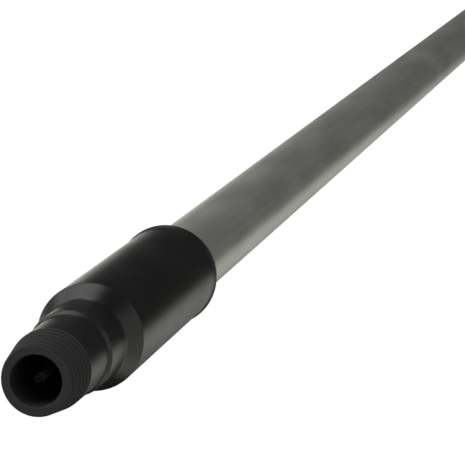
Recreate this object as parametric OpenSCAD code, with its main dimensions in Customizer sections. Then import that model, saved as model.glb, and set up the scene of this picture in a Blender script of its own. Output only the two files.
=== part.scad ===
// Fed extension pole. The pole lies along +Y with the nozzle face at the origin and +Z up.
// Distances along the pole are counted from the nozzle face and called s.

/* [Nozzle] */
// Bore of the nozzle
nozzle_bore_d = 18.1; // [14:0.1:20]
// Crest diameter of the thread at the nozzle face
thread_tip_d = 24.8; // [23:0.1:26]
// Crest diameter of the thread at its back end
thread_back_d = 29; // [27:0.1:30]
// Length of the tapered thread
thread_length = 17; // [12:0.5:25]
// Length of the run-out behind the thread
runout_length = 1.5; // [0.5:0.5:3]
// How far the neck lies below the thread's crest
neck_relief = 0.1; // [0.05:0.05:0.6]
// Diameter of the neck where it meets the socket
neck_back_d = 29; // [28.4:0.1:29.4]
// Length of the smooth neck
neck_length = 22.5; // [16:0.5:30]
// Diameter of the spigot inside the socket
spigot_d = 26; // [24:0.1:27]
// Length of the spigot inside the socket
spigot_length = 25; // [22:0.5:40]

/* [Socket] */
// How far the socket's front edge stands out from the neck
lip_step = 0.3; // [0.1:0.1:0.6]
// Length of the conical lip
lip_length = 2; // [1:0.5:4]
// Diameter of the collar that a tool head sits on
collar_d = 31.2; // [30.8:0.1:32.5]
// Length of the collar
collar_length = 17.5; // [12:0.5:25]
// Length of the shoulder cone with its fillet
shoulder_length = 11; // [10:0.5:20]
// Radius of the fillet between collar and shoulder
shoulder_fillet = 7; // [4:0.5:9]
// Diameter of the barrel
barrel_d = 39.9; // [38:0.1:44]
// Length of the plain barrel
barrel_length = 120; // [90:0.5:140]
// Height of the rim bead above the barrel
rim_height = 0.6; // [0.3:0.05:1.5]
// Width of the rim bead
rim_width = 3.2; // [2:0.1:8]

/* [Check valve] */
// Diameter of the pin in the nozzle
pin_d = 3.2; // [2.5:0.1:4]
// Depth of the pin's tip behind the nozzle face
pin_recess = 2.8; // [1:0.1:6]
// Diameter of the stem behind the poppet
stem_d = 4; // [3.6:0.1:5]
// Free end of the stem behind its guide
stem_tail = 6; // [5:0.5:12]
// Length of the seat ring
seat_length = 5; // [3.5:0.5:8]
// Hole through the seat ring
seat_hole_d = 14; // [11:0.1:15]
// Height of the lip on the seat ring
seat_lip = 1; // [0.6:0.1:1.5]
// Diameter of the poppet
poppet_d = 19.6; // [18:0.1:21]
// Thickness of the poppet
poppet_length = 4; // [3:0.1:6]
// Thickness of the washer on the poppet
washer_length = 2; // [1.5:0.1:3]
// Travel of the pin
valve_travel = 4; // [2:0.1:5]
// Room left between the spring's turns when the pin is pushed in
spring_reserve = 8.6; // [6:0.1:16]
// Mean diameter of the spring
spring_mean_d = 11; // [10.5:0.1:13]
// Wire diameter of the spring
spring_wire_d = 1.2; // [0.8:0.1:1.5]
// Turns of the spring
spring_turns = 6; // [4:1:7]
// Depth of the chamber between the seat and the tube
chamber_length = 8.8; // [8.5:0.1:20]
// Length of the pin guide
guide_length = 6; // [4:0.5:10]
// Width of the three webs of the pin guide
guide_web = 1.6; // [1:0.1:2.5]
// Thickness of the basket's flange and of its floor
basket_flange = 2; // [1.5:0.1:3]
// Wall of the basket
basket_wall = 1.6; // [1.2:0.1:2]
// Width of each of the windows in the basket's wall
basket_window = 11.4; // [8:0.1:12]

/* [Tubes] */
// Outer diameter of the front tube
tube_d = 31; // [30:0.1:32]
// Wall of the front tube
tube_wall = 1.5; // [1:0.1:1.6]
// Length of the front tube
front_tube_length = 1386; // [1350:1:1600]
// Room between the two tubes, for the guide bush
tube_play = 1; // [0.8:0.1:1.6]
// Wall of the handle tube
handle_tube_wall = 1.5; // [1:0.1:2]
// Travel of the handle section out of the front tube
telescope_travel = 1000; // [600:10:1100]
// Thickness of the gasket on the front tube's end
gasket_length = 2; // [1.5:0.1:3]

/* [Twist lock] */
// Length of lock body on the tube
lock_overlap = 52; // [45:1:80]
// Length of lock body behind the tube's end
lock_behind = 14; // [12:0.5:20]
// Wall of the lock body's front sleeve
lock_sleeve_wall = 2.45; // [1.8:0.05:4]
// Length of the lock body's tapered front
lock_taper = 7.5; // [4:0.5:14]
// Height of the lock's thread on the lock body
lock_thread_height = 1; // [0.8:0.1:2]
// Length of the lock body's threaded back
lock_thread_length = 30; // [24:1:38]
// Lead of the lock's thread
lock_lead = 3; // [2:0.5:4]
// Turn of the nut from locked to free, in degrees
lock_turn = 180; // [90:15:180]
// Length of the collet's fingers
finger_length = 12; // [10:0.5:20]
// Number of fingers on the collet
finger_count = 6; // [4:1:8]
// Width of the slots between the fingers
finger_slot = 1.6; // [1:0.1:2.5]
// Height of the fingers' root above the tube
finger_rise = 1.5; // [1:0.1:2]
// Wall of the fingers at their tip
finger_tip_wall = 1.6; // [1.2:0.1:2.2]
// Thickness of the collet's flange on the back of the lock body
collet_flange = 2; // [1.5:0.1:4]
// How far the wedge ring keeps from the flange and reaches past the fingers
wedge_margin = 2; // [1.6:0.1:4]
// Wall of the nut at its lobes
nut_wall = 4.2; // [3.6:0.1:7]
// Chamfer at both ends of the nut
nut_chamfer = 1.8; // [1:0.1:2.4]
// Number of flutes around the nut
flute_count = 10; // [8:1:14]
// Depth of the flutes
flute_depth = 1.8; // [1:0.1:2.4]
// Radius of the flutes
flute_r = 5; // [4:0.1:5.5]
// Thickness of the nut's back wall
nut_back_wall = 8; // [7:0.5:12]
// Thickness of the wiper ring
wiper_length = 3; // [2:0.1:4]
// Wall of the wiper ring
wiper_wall = 2.4; // [1.8:0.1:3]
// Length of the guide bush inside the tube, which the drawn-out sections overlap by
bush_length = 120; // [60:1:160]
// Thickness of the guide bush's flange
bush_flange = 3; // [2:0.1:5]

/* [Handle] */
// Length of the piston's head
piston_length = 30; // [24:1:50]
// Length of a plug's spigot in the handle tube
plug_spigot = 26; // [24:1:40]
// Flow bore through the piston and the end fitting
flow_d = 14; // [10:0.1:15]
// Diameter of the retaining pins
retainer_d = 3; // [2:0.1:4]
// Gap left between the loosened nut and the handle when the pole is closed
closed_gap = 2; // [1:0.5:10]
// Length of the ring in front of the grip
grip_collar_length = 9; // [6:0.5:15]
// Length of the grip
grip_length = 212; // [120:1:300]
// Wall of the grip over its ribs
grip_wall = 4.45; // [3:0.05:7]
// Height of the grip's end bands above the ribs
grip_band_rise = 1; // [0.5:0.1:2]
// Width of the end bands of the grip
grip_band = 8; // [5:0.5:15]
// Spacing of the grip's ribs
rib_pitch = 7; // [6:0.5:12]
// Width of a groove between the ribs
groove_width = 2.4; // [1.5:0.1:3.5]
// Depth of a groove between the ribs
groove_depth = 0.9; // [0.5:0.1:1.5]
// Length of the end fitting behind the grip
fitting_length = 24; // [22:1:40]
// Length of the straight band on the end fitting
fitting_band = 9.6; // [5:0.1:9.6]
// Length of the rounded shoulder behind that band
fitting_shoulder = 12; // [6:0.5:12]
// Wall of the end fitting round the plug's stem
fitting_end_wall = 3; // [2:0.1:4]
// Height of the end fitting above the handle tube
fitting_rise = 4; // [3:0.1:7]

/* [Hose plug] */
// Bore of the hose plug
plug_bore_d = 9; // [7:0.1:10]
// Diameter of the plug's stem in the end fitting
plug_stem_d = 16; // [15:0.1:20]
// Length of the plug's stem in the end fitting
plug_stem_length = 14; // [10:0.5:18]
// Width across the flats of the plug's hexagon
plug_hex_af = 22; // [20:0.5:27]
// Thickness of the plug's hexagon
plug_hex_length = 6; // [4:0.5:10]
// Diameter of the groove that a coupling latches in
plug_groove_d = 13.6; // [13:0.1:14.4]
// Length of that groove
plug_groove_length = 6; // [4:0.5:8]
// Diameter of the plug's collar
plug_collar_d = 16.4; // [15.5:0.1:18]
// Length of the plug's collar
plug_collar_length = 4; // [3:0.5:6]
// Diameter of the plug's nose
plug_nose_d = 13.2; // [12.8:0.1:14]
// Length of the plug's nose
plug_nose_length = 14; // [10:0.5:20]
// Thickness of the flat washer under the hexagon
plug_washer_length = 1.6; // [1:0.1:3]

/* [Fits] */
// Radial gap of a bonded or pressed fit
fit_gap = 0.05; // [0.02:0.01:0.1]
// Radial gap of a sliding fit
slide_gap = 0.1; // [0.05:0.01:0.15]
// Gap between faces of pieces that move apart
face_gap = 0.3; // [0.1:0.05:0.4]
// Thickness of the small ring seals
seal_d = 1.6; // [1.2:0.1:2]
// Edge chamfer on moulded pieces
edge = 0.6; // [0.3:0.1:1]

/* [Hidden] */
// Facets of a full turn in previews
$fn = 96;
// How far a cut runs past the face that it opens
cut = 1;
// Webs of the pin guide, and windows of the basket
web_count = 3;

// Colours
black_plastic = [0.10, 0.10, 0.10];
grey_plastic = [0.16, 0.16, 0.155];
dull_aluminium = [0.62, 0.62, 0.59];
soft_rubber = [0.06, 0.06, 0.06];
spring_steel = [0.70, 0.71, 0.72];
brass = [0.72, 0.58, 0.30];

// Head stations along the pole
neck_start_s = thread_length + runout_length;
socket_s = neck_start_s + neck_length;
spigot_end_s = socket_s + spigot_length;
collar_s = socket_s + lip_length;
shoulder_s = collar_s + collar_length;
barrel_s = shoulder_s + shoulder_length;
rim_s = barrel_s + barrel_length;
socket_back_s = rim_s + rim_width;
seat_back_s = spigot_end_s + seat_length;
pocket_s = seat_back_s + chamber_length;
basket_back_s = pocket_s + basket_flange;
tube_front_s = basket_back_s + gasket_length;
tube_back_s = tube_front_s + front_tube_length;

// Head radii
bore_r = nozzle_bore_d / 2;
spigot_r = spigot_d / 2;
spigot_bore_r = spigot_r + fit_gap;
// The step that holds the seat ring in the socket
seat_step = 1.2;
chamber_r = spigot_bore_r - seat_step;
neck_back_r = neck_back_d / 2;
seal_s = collar_s + collar_length / 2;
tube_r = tube_d / 2;
tube_bore_r = tube_r - tube_wall;
pocket_r = tube_r + fit_gap;

// Check valve stations, with the washer resting on the seat's lip
spring_length = (spring_turns + 1) * spring_wire_d + valve_travel + spring_reserve;
washer_s = seat_back_s + seat_lip + slide_gap;
// How far the washer stands out of the poppet's recess
washer_proud = 0.5;
poppet_s = washer_s + washer_proud;
poppet_back_s = poppet_s + poppet_length;
spring_s = poppet_back_s + slide_gap;
basket_floor_s = spring_s + spring_length + slide_gap;
basket_end_s = basket_floor_s + basket_flange;
stem_end_s = basket_end_s + stem_tail;
pin_r = pin_d / 2;
stem_r = stem_d / 2;
poppet_r = poppet_d / 2;
// Wall of the poppet's rim round the washer, and of its hub
poppet_rim = 0.8;
poppet_hub_r = stem_r + poppet_rim;
// The boss that centres the spring
boss_r = (spring_mean_d - spring_wire_d) / 2 - face_gap;
basket_bore_r = poppet_r + face_gap;
basket_r = basket_bore_r + basket_wall;

// Lock stations
lock_front_s = tube_back_s - lock_overlap;
lock_back_s = tube_back_s + lock_behind;
lock_thread_s = lock_back_s - lock_thread_length;
bush_front_s = tube_back_s - bush_length;
bush_back_s = tube_back_s + bush_flange;
finger_s = lock_back_s + collet_flange;
finger_end_s = finger_s + finger_length;
wedge_s = finger_s + wedge_margin;
wedge_back_s = finger_end_s + wedge_margin;
nut_wall_s = wedge_back_s + slide_gap;
nut_back_s = nut_wall_s + nut_back_wall;
nut_front_s = lock_thread_s + slide_gap;
wiper_s = nut_back_s - wiper_length;
lock_advance = lock_lead * lock_turn / 360;

// Lock radii
handle_r = tube_bore_r - tube_play;
handle_bore_r = handle_r - handle_tube_wall;
handle_slide_r = handle_r + slide_gap;
lock_sleeve_r = pocket_r + lock_sleeve_wall;
lock_thread_r = lock_sleeve_r + lock_thread_height;
nut_bore_r = lock_thread_r + face_gap;
nut_r = nut_bore_r + nut_wall;
wedge_r = nut_bore_r - slide_gap;
finger_root_r = tube_r + finger_rise;
finger_tip_r = handle_slide_r + finger_tip_wall;
// Taper of the fingers per unit of length
finger_slope = (finger_root_r - finger_tip_r) / finger_length;
wiper_r = handle_slide_r + wiper_wall;

// Handle stations, closed
piston_back_s = bush_front_s - telescope_travel - face_gap;
piston_front_s = piston_back_s - piston_length;
grip_collar_s = nut_back_s + lock_advance + closed_gap;
grip_s = grip_collar_s + grip_collar_length;
grip_back_s = grip_s + grip_length;
fitting_back_s = grip_back_s + fitting_length;
hex_s = fitting_back_s + plug_washer_length;
plug_groove_s = hex_s + plug_hex_length;
plug_collar_s = plug_groove_s + plug_groove_length;
plug_nose_s = plug_collar_s + plug_collar_length;
plug_end_s = plug_nose_s + plug_nose_length;

// Handle radii
handle_fit_r = handle_r + fit_gap;
plug_spigot_r = handle_bore_r - fit_gap;
flow_r = flow_d / 2;
piston_r = tube_bore_r - slide_gap;
grip_r = handle_fit_r + grip_wall;
grip_band_r = grip_r + grip_band_rise;
fitting_r = handle_r + fitting_rise;
plug_stem_r = plug_stem_d / 2;
plug_bore_r = plug_bore_d / 2;
plug_nose_r = plug_nose_d / 2;
retainer_r = retainer_d / 2;
// Retaining pins keep clear of the ring seal at the far end of a plug's spigot
retainer_at = plug_spigot / 2;
retainer_count = 3;
// Depth of the ring seal in the end of a plug's spigot
spigot_seal_at = 3 * seal_d;
// Places of the two seals along the piston's head
piston_seal_s = [piston_front_s + piston_length / 4, piston_back_s - piston_length / 4];

echo(turn_gap = spring_length / spring_turns - spring_wire_d);
echo(overall_length = plug_end_s, lock_advance = lock_advance);

// Points of an arc about [r, s] from angle a0 to a1, with half axes across and along the pole
function arc_points(r, s, across, along, a0, a1, steps = 8) =
    [for (i = [0 : steps])
        let (a = a0 + (a1 - a0) * i / steps)
        [r + across * cos(a), s + along * sin(a)]];

// An outline of [radius, s] points turned about the pole's axis
module turned(outline) {
    rotate([-90, 0, 0])
        rotate_extrude()
            polygon(outline);
}

// A plain ring from s to s_end
module ring(s, s_end, r_out, r_in) {
    turned([[r_in, s], [r_out, s], [r_out, s_end], [r_in, s_end]]);
}

// A round ring seal that lies in a groove whose mouth is at radius r, centred at s
module ring_seal(r, s) {
    seal_r = seal_d / 2 - fit_gap / 2;
    rotate([-90, 0, 0])
        translate([0, 0, s])
            rotate_extrude()
                translate([r - seal_d / 2, 0])
                    circle(seal_r, $fn = 24);
}

// Outline points of a seal groove in a wall of radius r, centred at s
function groove_points(r, s) =
    let (half = seal_d / 2 + slide_gap)
    [[r, s - half], [r - seal_d, s - half], [r - seal_d, s + half], [r, s + half]];

// Puts children, drawn along +Z, at distance s along the pole
module along(s) {
    rotate([-90, 0, 0])
        translate([0, 0, s])
            children();
}

// Children repeated around the pole's axis
module around(count) {
    for (i = [0 : count - 1])
        rotate([0, i * 360 / count, 0])
            children();
}

// Radial pins at s, from r_in to r_out
module radial_pins(s, r, r_in, r_out) {
    around(retainer_count)
        translate([0, s, r_in])
            cylinder(r = r, h = r_out - r_in, $fn = 32);
}

module threaded_nozzle() {
    color(grey_plastic)
        turned(concat(
            [[bore_r, 0],
             [thread_tip_d / 2 - edge, 0],
             [thread_tip_d / 2, edge],
             [thread_back_d / 2, thread_length],
             [thread_back_d / 2 - neck_relief, neck_start_s],
             [neck_back_r, socket_s],
             [spigot_r, socket_s]],
            groove_points(spigot_r, seal_s),
            [[spigot_r, spigot_end_s - edge],
             [spigot_r - edge, spigot_end_s],
             [bore_r, spigot_end_s]]));
}

// The fillet is tangent to the collar and to the shoulder cone that ends at the barrel's front edge
module head_socket() {
    collar_r = collar_d / 2;
    barrel_r = barrel_d / 2;
    rim_round = rim_width / 2;
    rise = barrel_r - collar_r;
    reach = norm([shoulder_length, shoulder_fillet - rise]);
    cone_angle = asin(shoulder_fillet / reach) - atan2(shoulder_fillet - rise, shoulder_length);
    color(black_plastic)
        turned(concat(
            [[spigot_bore_r, socket_s],
             [neck_back_r + lip_step, socket_s],
             [collar_r, collar_s]],
            arc_points(collar_r + shoulder_fillet, shoulder_s, shoulder_fillet, shoulder_fillet,
                       180, 180 - cone_angle),
            [[barrel_r, barrel_s]],
            arc_points(barrel_r, rim_s + rim_round, rim_height, rim_round, -90, 90),
            [[pocket_r + edge, socket_back_s],
             [pocket_r, socket_back_s - edge],
             [pocket_r, pocket_s],
             [chamber_r, pocket_s],
             [chamber_r, seat_back_s],
             [spigot_bore_r, seat_back_s]]));
}

module valve_pin() {
    color(black_plastic)
        turned([
            [0, pin_recess],
            [pin_r - edge, pin_recess],
            [pin_r, pin_recess + edge],
            [pin_r, poppet_back_s],
            [stem_r, poppet_back_s],
            [stem_r, stem_end_s - edge],
            [stem_r - edge, stem_end_s],
            [0, stem_end_s]
        ]);
}

// Disc with a recess for the washer in front and a boss for the spring behind
module valve_poppet() {
    recess_s = washer_s + washer_length;
    boss_s = poppet_back_s + spring_wire_d;
    color(brass)
        turned([
            [pin_r + fit_gap, poppet_s],
            [poppet_hub_r, poppet_s],
            [poppet_hub_r, recess_s],
            [poppet_r - poppet_rim, recess_s],
            [poppet_r - poppet_rim, poppet_s],
            [poppet_r, poppet_s],
            [poppet_r, poppet_back_s],
            [boss_r, poppet_back_s],
            [boss_r, boss_s],
            [stem_r + fit_gap, boss_s],
            [stem_r + fit_gap, poppet_back_s],
            [pin_r + fit_gap, poppet_back_s]
        ]);
}

module poppet_washer() {
    color(soft_rubber)
        ring(washer_s, washer_s + washer_length, poppet_r - poppet_rim - fit_gap, poppet_hub_r + fit_gap);
}

// Ring clamped between the spigot and the step in the socket
module valve_seat() {
    hole_r = seat_hole_d / 2;
    lip_top_r = hole_r + edge;
    color(brass)
        turned([
            [hole_r, spigot_end_s + edge],
            [hole_r + edge, spigot_end_s],
            [spigot_r, spigot_end_s],
            [spigot_r, seat_back_s],
            [lip_top_r + seat_lip, seat_back_s],
            [lip_top_r, seat_back_s + seat_lip],
            [hole_r, seat_back_s + seat_lip]
        ]);
}

// Hub, webs and a rim that hold the pin on the axis
module pin_guide() {
    rim_r = bore_r - fit_gap;
    hub_r = pin_r + slide_gap + guide_web;
    color(black_plastic)
        along(collar_s)
            difference() {
                union() {
                    cylinder(r = hub_r, h = guide_length);
                    for (i = [0 : web_count - 1])
                        rotate([0, 0, i * 360 / web_count])
                            translate([0, -guide_web / 2, 0])
                                cube([rim_r - guide_web / 2, guide_web, guide_length]);
                    difference() {
                        cylinder(r = rim_r, h = guide_length);
                        translate([0, 0, -cut])
                            cylinder(r = rim_r - guide_web, h = guide_length + 2 * cut);
                    }
                }
                translate([0, 0, -cut])
                    cylinder(r = pin_r + slide_gap, h = guide_length + 2 * cut);
            }
}

// One wire swept along a helix, closed at both ends
module valve_spring() {
    sides = 6;
    rings_per_turn = 12;
    rings = spring_turns * rings_per_turn;
    helix_r = spring_mean_d / 2;
    wire_r = spring_wire_d / 2;
    climb = spring_length - spring_wire_d;
    points = [for (i = [0 : rings], j = [0 : sides - 1])
        let (turn = i * 360 / rings_per_turn,
             a = j * 360 / sides,
             r = helix_r + wire_r * cos(a))
        [r * cos(turn), r * sin(turn), wire_r + climb * i / rings + wire_r * sin(a)]];
    skin = [for (i = [0 : rings - 1], j = [0 : sides - 1])
        let (k = (j + 1) % sides)
        each [[i * sides + j, i * sides + k, (i + 1) * sides + j],
              [i * sides + k, (i + 1) * sides + k, (i + 1) * sides + j]]];
    caps = [[for (j = [0 : sides - 1]) sides - 1 - j],
            [for (j = [0 : sides - 1]) rings * sides + j]];
    color(spring_steel)
        along(spring_s)
            polyhedron(points, concat(skin, caps));
}

// Cup with windows in its wall and a pierced floor that guides the stem
module spring_basket() {
    spring_out_r = (spring_mean_d + spring_wire_d) / 2;
    hole_at = (spring_out_r + basket_bore_r) / 2;
    hole_r = (basket_bore_r - spring_out_r) / 2 - face_gap;
    window_s = basket_back_s + edge;
    window_length = basket_floor_s - edge - window_s;
    color(black_plastic)
        difference() {
            turned([
                [basket_bore_r, pocket_s],
                [pocket_r - fit_gap, pocket_s],
                [pocket_r - fit_gap, basket_back_s],
                [basket_r, basket_back_s],
                [basket_r, basket_end_s],
                [stem_r + slide_gap, basket_end_s],
                [stem_r + slide_gap, basket_floor_s],
                [basket_bore_r, basket_floor_s]
            ]);
            around(web_count)
                translate([-basket_window / 2, window_s, basket_bore_r / 2])
                    cube([basket_window, window_length, basket_r]);
            around(2 * web_count)
                translate([0, basket_floor_s - cut, hole_at])
                    rotate([-90, 0, 0])
                        cylinder(r = hole_r, h = basket_flange + 2 * cut);
        }
}

module nozzle_seal() {
    color(soft_rubber)
        ring_seal(spigot_r, seal_s);
}

module tube_gasket() {
    color(soft_rubber)
        ring(basket_back_s, tube_front_s, pocket_r - fit_gap, basket_r + face_gap);
}

module front_tube() {
    color(dull_aluminium)
        ring(tube_front_s, tube_back_s, tube_r, tube_bore_r);
}

// Flanged bush in the mouth of the front tube
module guide_bush() {
    color(grey_plastic)
        turned([
            [handle_slide_r, bush_front_s],
            [tube_bore_r - fit_gap, bush_front_s],
            [tube_bore_r - fit_gap, tube_back_s],
            [tube_r, tube_back_s],
            [tube_r, bush_back_s],
            [handle_slide_r, bush_back_s]
        ]);
}

// Sleeve bonded on the tube, with a tapered front and the nut's thread as a plain cylinder
module lock_body() {
    color(black_plastic)
        turned([
            [pocket_r, lock_front_s],
            [pocket_r + edge, lock_front_s],
            [lock_sleeve_r, lock_front_s + lock_taper],
            [lock_sleeve_r, lock_thread_s],
            [lock_thread_r, lock_thread_s],
            [lock_thread_r, lock_back_s - edge],
            [lock_thread_r - edge, lock_back_s],
            [pocket_r, lock_back_s]
        ]);
}

// Flanged ring with tapered fingers, slotted from the back
module lock_collet() {
    color(grey_plastic)
        difference() {
            turned([
                [handle_slide_r, bush_back_s],
                [tube_r, bush_back_s],
                [tube_r, lock_back_s],
                [finger_root_r + edge, lock_back_s],
                [finger_root_r + edge, finger_s],
                [finger_root_r, finger_s],
                [finger_tip_r, finger_end_s],
                [handle_slide_r, finger_end_s]
            ]);
            around(finger_count)
                translate([-finger_slot / 2, bush_back_s + collet_flange, handle_r / 2])
                    cube([finger_slot, finger_end_s - bush_back_s, finger_root_r]);
        }
}

// Ring with a cone inside that runs up the fingers
module wedge_ring() {
    root_r = finger_root_r + face_gap;
    front_r = root_r - finger_slope * (wedge_s - finger_s);
    tip_r = root_r - finger_slope * (finger_end_s - finger_s);
    color(grey_plastic)
        turned([
            [front_r, wedge_s],
            [wedge_r, wedge_s],
            [wedge_r, wedge_back_s],
            [tip_r, wedge_back_s],
            [tip_r, finger_end_s]
        ]);
}

// Cup-shaped nut with flutes round its skirt
module lock_nut() {
    sink_r = wiper_r + fit_gap;
    flute_at = nut_r - flute_depth + flute_r;
    color(black_plastic)
        difference() {
            turned([
                [nut_bore_r, nut_front_s],
                [nut_r - nut_chamfer, nut_front_s],
                [nut_r, nut_front_s + nut_chamfer],
                [nut_r, nut_back_s - nut_chamfer],
                [nut_r - nut_chamfer, nut_back_s],
                [sink_r, nut_back_s],
                [sink_r, wiper_s],
                [handle_r + face_gap, wiper_s],
                [handle_r + face_gap, nut_wall_s],
                [nut_bore_r, nut_wall_s]
            ]);
            around(flute_count)
                translate([0, nut_front_s - cut, flute_at])
                    rotate([-90, 0, 0])
                        cylinder(r = flute_r, h = nut_back_s - nut_front_s + 2 * cut, $fn = 48);
        }
}

module wiper_ring() {
    color(soft_rubber)
        turned([
            [handle_slide_r, nut_back_s - edge],
            [handle_slide_r + edge, wiper_s],
            [wiper_r, wiper_s],
            [wiper_r, nut_back_s],
            [handle_slide_r + edge, nut_back_s]
        ]);
}

// Tube with holes for the retaining pins at both ends
module handle_tube() {
    hole_r = retainer_r + fit_gap;
    color(dull_aluminium)
        difference() {
            ring(piston_back_s, grip_back_s, handle_r, handle_bore_r);
            radial_pins(piston_back_s + retainer_at, hole_r, flow_r, handle_r + cut);
            radial_pins(grip_back_s - retainer_at, hole_r, flow_r, handle_r + cut);
        }
}

// Radius at which the retaining pins end inside a plug's spigot
function retainer_root() = (flow_r + plug_spigot_r) / 2;

// Grooved head that runs in the front tube, with a spigot in the handle tube
module piston_plug() {
    hole_r = retainer_r + fit_gap;
    spigot_back_s = piston_back_s + plug_spigot;
    color(grey_plastic)
        difference() {
            turned(concat(
                [[flow_r, piston_front_s],
                 [piston_r - edge, piston_front_s],
                 [piston_r, piston_front_s + edge]],
                groove_points(piston_r, piston_seal_s[0]),
                groove_points(piston_r, piston_seal_s[1]),
                [[piston_r, piston_back_s],
                 [plug_spigot_r, piston_back_s],
                 [plug_spigot_r, spigot_back_s - edge],
                 [plug_spigot_r - edge, spigot_back_s],
                 [flow_r, spigot_back_s]]));
            radial_pins(piston_back_s + retainer_at, hole_r, retainer_root() - fit_gap, handle_r);
        }
}

module piston_seals() {
    color(soft_rubber)
        for (s = piston_seal_s)
            ring_seal(piston_r, s);
}

module piston_pins() {
    color(spring_steel)
        radial_pins(piston_back_s + retainer_at, retainer_r, retainer_root(), handle_r - face_gap);
}

module grip_collar() {
    color(black_plastic)
        turned([
            [handle_fit_r, grip_collar_s],
            [handle_fit_r + 2 * edge, grip_collar_s],
            [grip_band_r - edge, grip_s - edge],
            [grip_band_r - edge, grip_s],
            [handle_fit_r, grip_s]
        ]);
}

// Sleeve with a smooth band at each end and round grooves between
module grip_sleeve() {
    ribs_s = grip_s + grip_band;
    ribs_end_s = grip_back_s - grip_band;
    ribs = floor((ribs_end_s - ribs_s - groove_width) / rib_pitch);
    first_s = (ribs_s + ribs_end_s - (ribs * rib_pitch)) / 2;
    color(soft_rubber)
        turned(concat(
            [[handle_fit_r, grip_s],
             [grip_band_r - edge, grip_s],
             [grip_band_r, grip_s + edge],
             [grip_band_r, ribs_s - 2 * edge],
             [grip_r, ribs_s]],
            [for (i = [0 : ribs])
                let (s = first_s + i * rib_pitch)
                each [[grip_r, s - groove_width / 2],
                      [grip_r - groove_depth, s - groove_width / 4],
                      [grip_r - groove_depth, s + groove_width / 4],
                      [grip_r, s + groove_width / 2]]],
            [[grip_r, ribs_end_s],
             [grip_band_r, ribs_end_s + 2 * edge],
             [grip_band_r, grip_back_s - edge],
             [grip_band_r - edge, grip_back_s],
             [handle_fit_r, grip_back_s]]));
}

// Butt fitting: a spigot in the handle tube and a tapered end that takes the hose plug
module end_fitting() {
    hole_r = retainer_r + fit_gap;
    spigot_front_s = grip_back_s - plug_spigot;
    stem_s = fitting_back_s - plug_stem_length - face_gap;
    nose_r = plug_stem_r + fitting_end_wall;
    band_end_s = grip_back_s + fitting_band;
    color(black_plastic)
        difference() {
            turned(concat(
                [[flow_r, spigot_front_s],
                 [plug_spigot_r - edge, spigot_front_s],
                 [plug_spigot_r, spigot_front_s + edge]],
                groove_points(plug_spigot_r, spigot_front_s + spigot_seal_at),
                [[plug_spigot_r, grip_back_s],
                 [fitting_r, grip_back_s]],
                arc_points(nose_r, band_end_s, fitting_r - nose_r, fitting_shoulder, 0, 90),
                [[nose_r, fitting_back_s],
                 [plug_stem_r + fit_gap, fitting_back_s],
                 [plug_stem_r + fit_gap, stem_s],
                 [flow_r, stem_s]]));
            radial_pins(grip_back_s - retainer_at, hole_r, retainer_root() - fit_gap, handle_r);
        }
}

module fitting_seal() {
    color(soft_rubber)
        ring_seal(plug_spigot_r, grip_back_s - plug_spigot + spigot_seal_at);
}

module fitting_pins() {
    color(spring_steel)
        radial_pins(grip_back_s - retainer_at, retainer_r, retainer_root(), handle_r - face_gap);
}

module plug_washer() {
    color(soft_rubber)
        ring(fitting_back_s, hex_s, plug_hex_af / 2, plug_stem_r + fit_gap);
}

// Push-on plug: stem, hexagon, latch groove, collar and nose with a seal groove
module hose_plug() {
    collar_r = plug_collar_d / 2;
    groove_r = plug_groove_d / 2;
    stem_end = fitting_back_s - plug_stem_length;
    color(black_plastic)
        difference() {
            union() {
                turned(concat(
                    [[plug_bore_r, stem_end],
                     [plug_stem_r - edge, stem_end],
                     [plug_stem_r, stem_end + edge],
                     [plug_stem_r, hex_s],
                     [groove_r, hex_s],
                     [groove_r, plug_collar_s],
                     [collar_r, plug_collar_s],
                     [collar_r, plug_nose_s],
                     [plug_nose_r, plug_nose_s]],
                    groove_points(plug_nose_r, plug_nose_s + plug_nose_length / 2),
                    [[plug_nose_r, plug_end_s - 2 * edge],
                     [plug_nose_r - edge, plug_end_s],
                     [plug_bore_r, plug_end_s]]));
                along(hex_s)
                    cylinder(d = plug_hex_af / cos(30), h = plug_hex_length, $fn = 6);
            }
            along(stem_end - cut)
                cylinder(r = plug_bore_r, h = plug_end_s - stem_end + 2 * cut);
        }
}

module plug_seal() {
    color(soft_rubber)
        ring_seal(plug_nose_r, plug_nose_s + plug_nose_length / 2);
}

threaded_nozzle();
head_socket();
valve_pin();
valve_poppet();
poppet_washer();
valve_seat();
pin_guide();
valve_spring();
spring_basket();
nozzle_seal();
tube_gasket();
front_tube();
guide_bush();
lock_body();
lock_collet();
wedge_ring();
lock_nut();
wiper_ring();
handle_tube();
piston_plug();
piston_seals();
piston_pins();
grip_collar();
grip_sleeve();
end_fitting();
fitting_seal();
fitting_pins();
plug_washer();
hose_plug();
plug_seal();
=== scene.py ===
"""Looks of a fed extension pole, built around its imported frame.

The pole lies along +Y, its nozzle face is centred on the origin and +Z is up. Sizes are in
millimetres, and places along the pole, called s, are counted from the nozzle face. They become
metres only where a mesh, a lamp or the camera is made.
"""

from __future__ import annotations

import logging
import math
from collections.abc import Callable, Sequence
from dataclasses import dataclass
from enum import Enum
from typing import Any

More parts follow.
